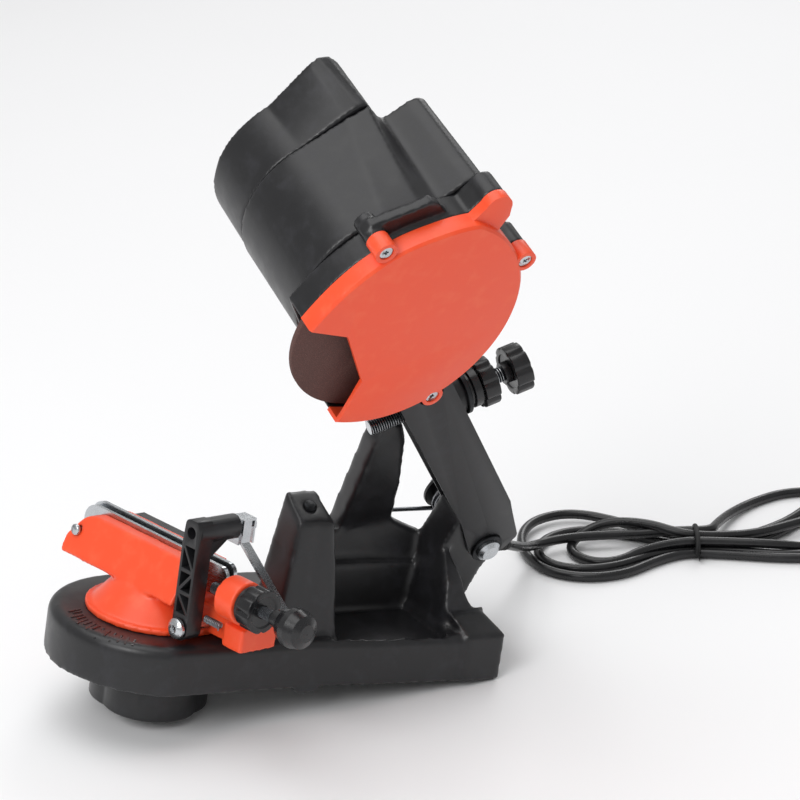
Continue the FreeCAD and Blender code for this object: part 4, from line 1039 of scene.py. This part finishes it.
    def make_relief(self, finishes: Finishes) -> bpy.types.Object:
        """Models the ribbed tapered strain relief round the lead's first stretch.

        Args:
            finishes: all finishes.

        Returns:
            The strain relief.
        """
        rings = self.relief_profile()
        clear_selection()
        bpy.ops.mesh.primitive_circle_add(vertices=40, radius=rings[0][0] * MM,
                                          location=(0, 0, rings[0][1] * MM))
        obj = bpy.context.object
        settle(obj, Matrix.Identity(4))
        pick(obj, "EDGE", lambda edge: True)
        for (r0, z0), (r1, z1) in zip(rings, rings[1:]):
            bpy.ops.mesh.extrude_edges_move(
                TRANSFORM_OT_translate={"value": (0, 0, (z1 - z0) * MM)})
            bpy.ops.transform.resize(value=(r1 / r0, r1 / r0, 1.0), center_override=(0, 0, z1 * MM))
        bpy.ops.mesh.select_all(action="SELECT")
        bpy.ops.mesh.normals_make_consistent(inside=False)
        object_mode()
        shell = obj.modifiers.new("wall", "SOLIDIFY")
        shell.thickness = 0.05 * MM
        shell.offset = -1.0
        apply_modifiers(obj)
        start = Vector(self.exit_point)
        way = (Vector(self.route()[2]) - start).normalized()
        aim = Vector((0, 0, 1)).rotation_difference(way).to_matrix().to_4x4()
        settle(obj, Matrix.Translation(start * MM) @ aim)
        smooth(obj, 45.0)
        return finish_piece(obj, "strain_relief_ribbed", Body.BASE, "black_plastic",
                            finishes.rubber, "strain_relief")

    def bend_loop(self, ring: bpy.types.Object) -> None:
        """Bends a thin ring of 1 m radius to the tie's flat loop round the hank.

        Args:
            ring: the ring, lying flat.
        """
        for vertex in ring.data.vertices:
            angle = math.atan2(vertex.co.y, vertex.co.x)
            thick = math.hypot(vertex.co.x, vertex.co.y) - 1.0
            c, s = math.cos(angle), math.sin(angle)
            across = math.copysign(abs(c) ** 0.8, c) * (self.tie_half * MM + thick)
            up = math.copysign(abs(s) ** 0.8, s) * (self.tie_tall * MM + thick)
            vertex.co = (vertex.co.z * 1.2, across, up + self.tie_lift * MM)

    def make_tie(self, finishes: Finishes) -> bpy.types.Object:
        """Models the twist tie round the hank as one bent strip with its twisted ends.

        Args:
            finishes: all finishes.

        Returns:
            The tie.
        """
        clear_selection()
        bpy.ops.mesh.primitive_torus_add(major_radius=1.0, minor_radius=self.tie_wire * MM,
                                         major_segments=48, minor_segments=10)
        obj = bpy.context.object
        self.bend_loop(obj)
        knot = cylinder(*self.twist_size, 12)
        twist = knot.modifiers.new("twist", "SIMPLE_DEFORM")
        twist.deform_method = "TWIST"
        twist.angle = math.radians(self.twist_turn)
        apply_modifiers(knot)
        settle(knot, moved(*self.twist_at) @ turned("X", self.twist_lean))
        join(obj, knot)
        settle(obj, moved(*self.tie_at, 0.0) @ turned("Z", self.tie_turn))
        smooth(obj, 50.0)
        return finish_piece(obj, "twist_tie", Body.BASE, "lead_sheath", finishes.rubber, "hank_tie")

    @staticmethod
    def measure(cord: bpy.types.Object) -> float:
        """Measures the spline itself.

        Args:
            cord: the lead.

        Returns:
            Length in metres.
        """
        bare = cord.copy()
        bare.data = cord.data.copy()
        bare.data.bevel_depth = 0.0
        bare.data.use_fill_caps = False
        mesh = bpy.data.meshes.new_from_object(bare)
        ends = [[mesh.vertices[i].co for i in edge.vertices] for edge in mesh.edges]
        total = sum((first - second).length for first, second in ends)
        bpy.data.meshes.remove(mesh)
        data = bare.data
        bpy.data.objects.remove(bare)
        bpy.data.curves.remove(data)
        return round(total, 3)

    def build(self, finishes: Finishes) -> None:
        """Args:
            finishes: all finishes.
        """
        cord = self.make_cord(finishes)
        relief = self.make_relief(finishes)
        tie = self.make_tie(finishes)
        plug = Casting("mains_plug", Body.BASE, "black_plastic",
                       ease=0.7).build(finishes.smooth_black)
        length = self.measure(cord)
        LOG.info("mains_cord, %.3f m", length)


# -------------------------------------------------------------------- threads
@dataclass
class ThreadedRod:
    """A rod with a real helical thread.

    Attributes:
        node: CAD node it stands for.
        body: moving body.
        radius: outer radius in millimetres.
        pitch: thread pitch in millimetres.
        length: length of the rod.
        place: frame of its low end, own Z along the rod.
        sides: faces round one turn.
        crest: shares of the pitch between which the thread is at its full radius.
        cut: depth of the thread as a share of the pitch.
        lip: height of the bright crest in millimetres, above the flanks, which carry painted shade.
    """

    node: str
    body: Body
    radius: float
    pitch: float
    length: float
    place: Matrix
    sides: int = 28
    crest: tuple[float, float] = (0.42, 0.58)
    cut: float = 0.6
    lip: float = 0.12

    def draw_thread(self) -> bpy.types.Object:
        """Draws one pitch of the thread's profile, below the rod's low end.

        Returns:
            The profile as a chain of edges.
        """
        clear_selection()
        bpy.ops.mesh.primitive_plane_add(size=1.0)
        obj = bpy.context.object
        pick(obj, "VERT", lambda vertex: True)
        mesh = bmesh.from_edit_mesh(obj.data)
        root = self.radius - self.pitch * self.cut
        rows = [(root, 0.0), (self.radius, self.crest[0]), (self.radius, self.crest[1]),
                (root, 1.0)]
        for face in list(mesh.faces):
            mesh.faces.remove(face)
        loose = list(mesh.verts)
        for vertex, (out, share) in zip(loose, rows):
            vertex.co = (out * MM, 0.0, (share - 1.5) * self.pitch * MM)
        for edge in list(mesh.edges):
            mesh.edges.remove(edge)
        for first, second in zip(loose, loose[1:]):
            mesh.edges.new((first, second))
        bmesh.update_edit_mesh(obj.data)
        object_mode()
        return obj

    def wind(self, obj: bpy.types.Object) -> None:
        """Winds the profile up past the rod's other end.

        Args:
            obj: the profile.
        """
        screw = obj.modifiers.new("helix", "SCREW")
        screw.axis = "Z"
        screw.angle = math.radians(360.0)
        screw.screw_offset = self.pitch * MM
        screw.iterations = math.ceil(self.length / self.pitch) + 3
        screw.steps = screw.render_steps = self.sides
        screw.use_merge_vertices = True
        screw.merge_threshold = THREAD_MERGE
        apply_modifiers(obj)

    def square_ends(self, obj: bpy.types.Object) -> None:
        """Cuts both ends square and closes them.

        Args:
            obj: the wound thread.
        """
        for height, upper in ((0.0, False), (self.length, True)):
            pick(obj, "FACE", lambda face: True)
            bpy.ops.mesh.bisect(plane_co=(0, 0, height * MM), plane_no=(0, 0, 1), use_fill=True,
                                clear_inner=not upper, clear_outer=upper)
            object_mode()
        take(obj)
        bpy.ops.object.mode_set(mode="EDIT")
        bpy.ops.mesh.select_all(action="SELECT")
        bpy.ops.mesh.remove_doubles(threshold=THREAD_MERGE)
        bpy.ops.mesh.normals_make_consistent(inside=False)
        object_mode()

    def roots(self, obj: bpy.types.Object) -> list[int]:
        """Finds the flanks and roots of the thread, which get painted shade.

        Args:
            obj: the rod, still along its own Z.

        Returns:
            For each face, 1 on a flank or root and 0 elsewhere.
        """
        limit = (self.radius - self.lip) * MM
        return [int(math.hypot(face.center.x, face.center.y) < limit
                    and abs(face.normal.z) < 0.98) for face in obj.data.polygons]

    def build(self, finishes: Finishes) -> bpy.types.Object:
        """Models and dresses the rod, with painted shade in the thread.

        Args:
            finishes: all finishes.

        Returns:
            The rod.
        """
        obj = self.draw_thread()
        self.wind(obj)
        self.square_ends(obj)
        rows = self.roots(obj)
        settle(obj, self.place)
        smooth(obj, 25.0)
        finish_piece(obj, self.node + "_thread", self.body, "plated_steel", finishes.zinc,
                     self.node)
        # painted shade: the flanks and roots take the darker second finish, so that the thread
        # shows as bright and dark lines
        obj.data.materials.append(finishes.root)
        for face, row in zip(obj.data.polygons, rows):
            face.material_index = row
        return obj


# --------------------------------------------------------------- cross screws
@dataclass
class CrossRecess:
    """Cross recesses cut into the screw heads of a CAD node.

    Attributes:
        node: CAD node with the screws.
        body: moving body.
        places: frame of each head's face, own Z outward.
        span: width of a cross in millimetres.
        wing: width of its wings.
        depth: depth of the recess.
        shrink: scale of the piece about its own middle.
        first_turn: turn of the first cross in degrees.
        next_turn: further turn of each next cross, since screws stop where they are tight.
        taper: length and width of a wing's floor as shares of its top.
    """

    node: str
    body: Body
    places: list[Matrix]
    span: float = 3.6
    wing: float = 0.9
    depth: float = 1.4
    shrink: float = 1.0
    first_turn: float = 20.0
    next_turn: float = 37.0
    taper: tuple[float, float] = (0.35, 0.7)

    def cutter(self, at: Matrix, turn: float) -> bpy.types.Object:
        """Models one cross-shaped cutter that narrows downwards.

        Args:
            at: frame of the head's face.
            turn: turn about the screw's axis in degrees.

        Returns:
            The cutter.
        """
        parts = []
        for quarter in (0.0, 90.0):
            part = block((self.span, self.wing, self.depth * 2), (0, 0, 0))
            pick(part, "FACE", lambda face: face.normal.z < -FACING)
            bpy.ops.transform.resize(value=(*self.taper, 1.0),
                                     center_override=(0, 0, -self.depth * MM))
            object_mode()
            settle(part, at @ turned("Z", turn + quarter))
            parts.append(part)
        join(*parts)
        return parts[0]

    def build(self, material: bpy.types.Material) -> bpy.types.Object:
        """Cuts the recesses and eases the heads.

        Args:
            material: finish.

        Returns:
            The screws.
        """
        obj = copy_of(self.node)
        for number, place in enumerate(self.places):
            tool = self.cutter(place, self.first_turn + self.next_turn * number)
            cut_away(obj, tool, crossed=True)
        if self.shrink < 1.0:
            centre = sum((Vector(c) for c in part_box(self.node)), Vector()) / 2
            obj.data.transform(Matrix.Translation(centre) @ Matrix.Scale(self.shrink, 4)
                               @ Matrix.Translation(-centre))
        ease_edges(obj, width=0.35, segments=3, degrees=50.0)
        smooth(obj, 40.0)
        return finish_piece(obj, self.node + "_crossed", self.body, "plated_steel", material,
                            self.node)


# ---------------------------------------------------------------- angle scale
@dataclass
class AngleScale:
    """Raised ticks of the turntable's angle scale on the deck rim.

    Attributes:
        lift: height of the deck above the deck's frame in millimetres.
        tall: height of a tick.
        sunk: depth to which a tick runs on below the deck's face.
        wide: width of a tick at its foot.
        taper: length and width of a tick's top as shares of its foot.
        ends: inner and outer end of each tick in the deck's frame.
    """

    lift: float = 25.0
    tall: float = 0.45
    sunk: float = 0.3
    wide: float = 1.5
    taper: tuple[float, float] = (0.94, 0.62)
    ends: tuple[tuple[float, float, float, float], ...] = (
        (-40.7, 7.0, -48.1, 4.9), (-41.1, 4.4, -46.8, 2.6), (-42.3, -0.1, -50.1, -2.3),
        (-42.5, -2.9, -48.5, -5.2), (-43.0, -6.2, -50.8, -10.3), (-42.2, -9.6, -48.1, -12.6),
        (-41.4, -12.4, -49.4, -17.5), (-40.8, -15.8, -46.2, -19.0), (-40.0, -19.1, -48.2, -25.6),
        (-38.6, -22.9, -44.2, -27.6), (-37.0, -26.0, -43.4, -32.2), (-35.2, -29.3, -40.5, -34.8),
        (-33.0, -32.5, -37.9, -37.8), (-31.2, -35.9, -35.0, -40.3))

    def make_tick(self, x0: float, y0: float, x1: float, y1: float) -> bpy.types.Object:
        """Models one tick with tapered sides.

        Args:
            x0: inner end across the deck.
            y0: inner end along the deck.
            x1: outer end across the deck.
            y1: outer end along the deck.

        Returns:
            The tick.
        """
        run = math.hypot(x1 - x0, y1 - y0)
        tick = block((run, self.wide, self.tall + self.sunk),
                     (run / 2, 0, (self.tall - self.sunk) / 2))
        pick(tick, "FACE", lambda face: face.normal.z > FACING)
        bpy.ops.transform.resize(value=(*self.taper, 1.0),
                                 center_override=(run / 2 * MM, 0, self.tall * MM))
        object_mode()
        aim = math.degrees(math.atan2(y1 - y0, x1 - x0))
        settle(tick, BENCH @ moved(x0, y0, self.lift) @ turned("Z", aim))
        return tick

    def lay_down(self, obj: bpy.types.Object) -> None:
        """Brings the ticks down on to the deck where its rim rounds over.

        Args:
            obj: all ticks.
        """
        deck = bpy.data.objects["base_frame_moulded"]
        bpy.context.view_layer.update()
        down = (BENCH.to_3x3() @ Vector((0, 0, -1))).normalized()
        for vertex in obj.data.vertices:
            at = BENCH.inverted() @ vertex.co
            above = BENCH @ Vector((at.x, at.y, (self.lift + 5.0) * MM))
            hit, place, _, _ = deck.ray_cast(above, down)
            if hit:
                vertex.co = place - down * (at.z - self.lift * MM)

    def build(self, finishes: Finishes) -> bpy.types.Object:
        """Models all ticks as one piece.

        Args:
            finishes: all finishes.

        Returns:
            The scale.
        """
        ticks = [self.make_tick(*row) for row in self.ends]
        join(*ticks)
        self.lay_down(ticks[0])
        return finish_piece(ticks[0], "angle_scale", Body.BASE, "black_plastic",
                            finishes.smooth_black)


# ---------------------------------------------------------------------- stage
@dataclass(frozen=True)
class Lamp:
    """A soft square lamp.

    Attributes:
        name: plain name.
        place: where it hangs, in metres.
        size: side in metres.
        power: watts.
    """

    name: str
    place: Point
    size: float
    power: float


@dataclass
class Studio:
    """Camera, lamps, surrounding and floor.

    Attributes:
        eye: camera place in metres.
        target: point the camera looks at.
        lens: focal length in millimetres.
        lit: point the lamps look at.
        lamps: the lamps.
        fill: strength of the surrounding light.
        backdrop: colour seen behind the machine.
        floor_side: side of the floor in metres.
    """

    eye: Point = (-0.66185, -1.19627, 0.68338)
    target: Point = (0.057295, 0.014665, 0.149182)
    lens: float = 134.37
    lit: Point = (0.03, 0.0, 0.1)
    lamps: tuple[Lamp, ...] = (Lamp("overhead", (-0.3, 0.3, 2.3), 2.0, 24.0),
                               Lamp("key", (-1.7, -0.9, 1.6), 1.1, 25.0),
                               Lamp("rim", (1.5, 1.5, 1.5), 1.0, 11.0))
    fill: float = 0.46
    backdrop: str = "F4F4F5"
    floor_side: float = 14.0

    @staticmethod
    def aim(obj: bpy.types.Object, place: Point, target: Point) -> None:
        """Puts a camera or lamp at a place and turns it to a target.

        Args:
            obj: the camera or lamp.
            place: where it goes, in metres.
            target: point it looks at.
        """
        obj.location = place
        way = Vector(target) - Vector(place)
        obj.rotation_euler = way.to_track_quat("-Z", "Y").to_euler()

    def camera(self) -> None:
        """Sets the camera."""
        data = bpy.data.cameras.new("camera")
        data.lens = self.lens
        data.sensor_width = 36.0
        data.clip_end = 50.0
        obj = add_object("camera", data)
        self.aim(obj, self.eye, self.target)
        bpy.context.scene.camera = obj

    def hang(self, lamp: Lamp) -> None:
        """Adds one lamp.

        Args:
            lamp: the lamp.
        """
        data = bpy.data.lights.new(lamp.name, "AREA")
        data.size = lamp.size
        data.energy = lamp.power
        self.aim(add_object(lamp.name, data), lamp.place, self.lit)

    def world(self) -> None:
        """Sets a plain pale surrounding."""
        world = bpy.data.worlds.new("studio")
        bpy.context.scene.world = world
        world.use_nodes = True
        tree = world.node_tree
        tree.nodes.clear()
        fill = add_node(tree, "ShaderNodeBackground",
                        {"Color": (1.0, 1.0, 1.0, 1.0), "Strength": self.fill})
        seen = add_node(tree, "ShaderNodeBackground",
                        {"Color": linear(self.backdrop), "Strength": 1.0})
        path = add_node(tree, "ShaderNodeLightPath")
        mix = add_node(tree, "ShaderNodeMixShader", {0: path.outputs["Is Camera Ray"], 1: fill,
                                                     2: seen})
        add_node(tree, "ShaderNodeOutputWorld", {"Surface": mix})

    def floor(self, finishes: Finishes) -> None:
        """Lays the pale floor.

        Args:
            finishes: all finishes.
        """
        clear_selection()
        bpy.ops.mesh.primitive_plane_add(size=self.floor_side, location=(0.0, 0.0, 0.0))
        obj = bpy.context.object
        obj.name = "floor"
        obj.data.materials.append(finishes.floor)

    def build(self, finishes: Finishes) -> None:
        """Sets lamps, surrounding and floor.

        Args:
            finishes: all finishes.
        """
        for lamp in self.lamps:
            self.hang(lamp)
        self.world()
        self.floor(finishes)
        bpy.context.scene.view_settings.view_transform = "Standard"


# ----------------------------------------------------------------- assemblies
@dataclass
class CadNodes:
    """Every CAD node that is shown as it is gets its finish.

    Attributes:
        dark: nodes of phosphated steel.
        polished: nodes of smooth black plastic.
    """

    dark: tuple[str, ...] = ("stop_tower_screw", "depth_screw_washer", "arm_screws",
                             "pivot_washer")
    polished: tuple[str, ...] = ("stop_ball_knob", "depth_screw_collar", "switch_rocker",
                                 "clamp_lever")

    def build(self, finishes: Finishes) -> None:
        """Dresses the nodes by the record's material slots.

        Args:
            finishes: all finishes.
        """
        dress = finishes.by_slot()
        special = {name: finishes.dark_steel for name in self.dark}
        special |= {name: finishes.smooth_black for name in self.polished}
        for name, obj in frame["nodes"].items():
            obj.data.materials.clear()
            obj.data.materials.append(special.get(name) or dress[SLOT_OF[name]])
            LOG.info("%s dressed as %s", name, SLOT_OF[name])


@dataclass
class Mouldings:
    """Housings, arm, guard, vise, knobs and wheel.

    Attributes:
        grip_radius: radius of the depth screw's knob and lock nut in millimetres.
        stop_radius: radius of the chain stop's lock knob.
        base_zone: part of the base whose walls, tower and fin blend into the deck.
        base_trim: block that takes off the thin end of the base's back rib.
    """

    grip_radius: float = 12.5
    stop_radius: float = 11.0
    base_zone: Zone = ((34.0, -52.0, 24.0), (150.0, 60.0, 130.0))
    base_trim: Zone = ((168.8, 20.0, 0.0), (220.0, 70.0, 42.0))

    def mouldings(self, finishes: Finishes) -> None:
        """Builds the castings and the large housings.

        Args:
            finishes: all finishes.
        """
        arm, base, black = Body.ARM, Body.BASE, "black_plastic"
        Casting("arm", arm, black, ease=0.6).build(finishes.black)
        Casting("chain_stop_arm", Body.CHAIN_STOP, black, ease=0.45).build(finishes.black)
        Casting("clamp_knob", Body.CLAMP_KNOB, black, ease=0.8).build(finishes.black)
        Casting("wheel_guard", arm, "orange_plastic", ease=1.1,
                segments=3).build(finishes.orange)
        SoftMoulding("vise_body", Body.TURNTABLE, "orange_plastic", grid=0.85,
                     rounds=6).build(finishes.orange)
        SoftMoulding("base_frame", base, black, grid=1.3, rounds=9, blend=12,
                     zone=self.base_zone, trim=self.base_trim).build(finishes.black)
        SoftMoulding("motor_housing", arm, black, grid=1.1, rounds=7,
                     ridge=Ridge()).build(finishes.black)
        SoftMoulding("rear_cap", arm, black, grid=1.0, rounds=5).build(finishes.black)
        SoftMoulding("wheel_shroud", arm, black, grid=0.9, rounds=5).build(finishes.black)

    def knobs(self, finishes: Finishes) -> None:
        """Builds the hand knobs of the depth screw and the chain stop.

        Args:
            finishes: all finishes.
        """
        HandKnob("depth_knob", Body.DEPTH_KNOB, self.grip_radius, thick=9.0,
                 place=DEPTH_SCREW @ moved(0, 0, 77.1), bore=4.1,
                 hub=(5.5, 3.5)).build(finishes.smooth_black)
        HandKnob("depth_lock_nut", Body.LOCK_NUT, self.grip_radius, thick=8.0,
                 place=DEPTH_SCREW @ moved(0, 0, 59.52), bore=4.1,
                 through=True).build(finishes.smooth_black)
        HandKnob("stop_lock_knob", Body.STOP_LOCK, self.stop_radius, thick=9.0,
                 place=VISE @ moved(-8.0, -72.4, 54.0) @ ALONG_NEAR, bore=3.1,
                 through=True).build(finishes.smooth_black)

    def build(self, finishes: Finishes) -> None:
        """Builds every moulded piece and the wheel.

        Args:
            finishes: all finishes.
        """
        self.mouldings(finishes)
        self.knobs(finishes)
        Casting("grinding_wheel", Body.SPINDLE, "abrasive", ease=0.25).build(finishes.wheel)


@dataclass
class Screws:
    """Threaded rods, and the screws whose cross recesses show.

    Attributes:
        bosses: guard screws in the head's frame, in millimetres.
        boss_face: height of their faces.
    """

    bosses: tuple[tuple[float, float], ...] = ((-165.6, 209.6), (-81.3, 202.7), (-93.5, 116.0))
    boss_face: float = 11.85

    def build(self, finishes: Finishes) -> None:
        """Builds the rods, the guard screws, the plate's screw and the chain stop's bolt.

        Args:
            finishes: all finishes.
        """
        ThreadedRod("depth_screw", Body.DEPTH_SCREW, radius=3.98, pitch=1.25, length=79.9,
                    place=DEPTH_SCREW).build(finishes)
        ThreadedRod("stop_screw", Body.STOP_SCREW, radius=2.97, pitch=1.0, length=51.9,
                    place=VISE @ moved(-8.0, -44.8, 54.0) @ ALONG_NEAR, sides=24).build(finishes)
        heads = [HEAD @ moved(x, y, self.boss_face) for x, y in self.bosses]
        bolt = VISE @ moved(-26.2, -39.0, 33.0) @ turned("Y", -90.0)
        CrossRecess("guard_screws", Body.ARM, heads, span=3.9, wing=1.1,
                    depth=1.3).build(finishes.zinc)
        CrossRecess("guide_plate_screw", Body.TURNTABLE, [], shrink=0.7).build(finishes.zinc)
        CrossRecess("chain_stop_bolt", Body.TURNTABLE, [bolt], span=5.2, wing=1.2,
                    depth=1.9).build(finishes.zinc)


def main() -> None:
    """Builds the visual model."""
    logging.basicConfig(level=logging.INFO, format="%(name)s: %(message)s")
    finishes = Finishes()
    studio = Studio()
    studio.camera()
    for assembly in (MainsLead(), CadNodes(), Mouldings(), Screws(), AngleScale(), studio):
        assembly.build(finishes)


if __name__ == "__main__":
    main()
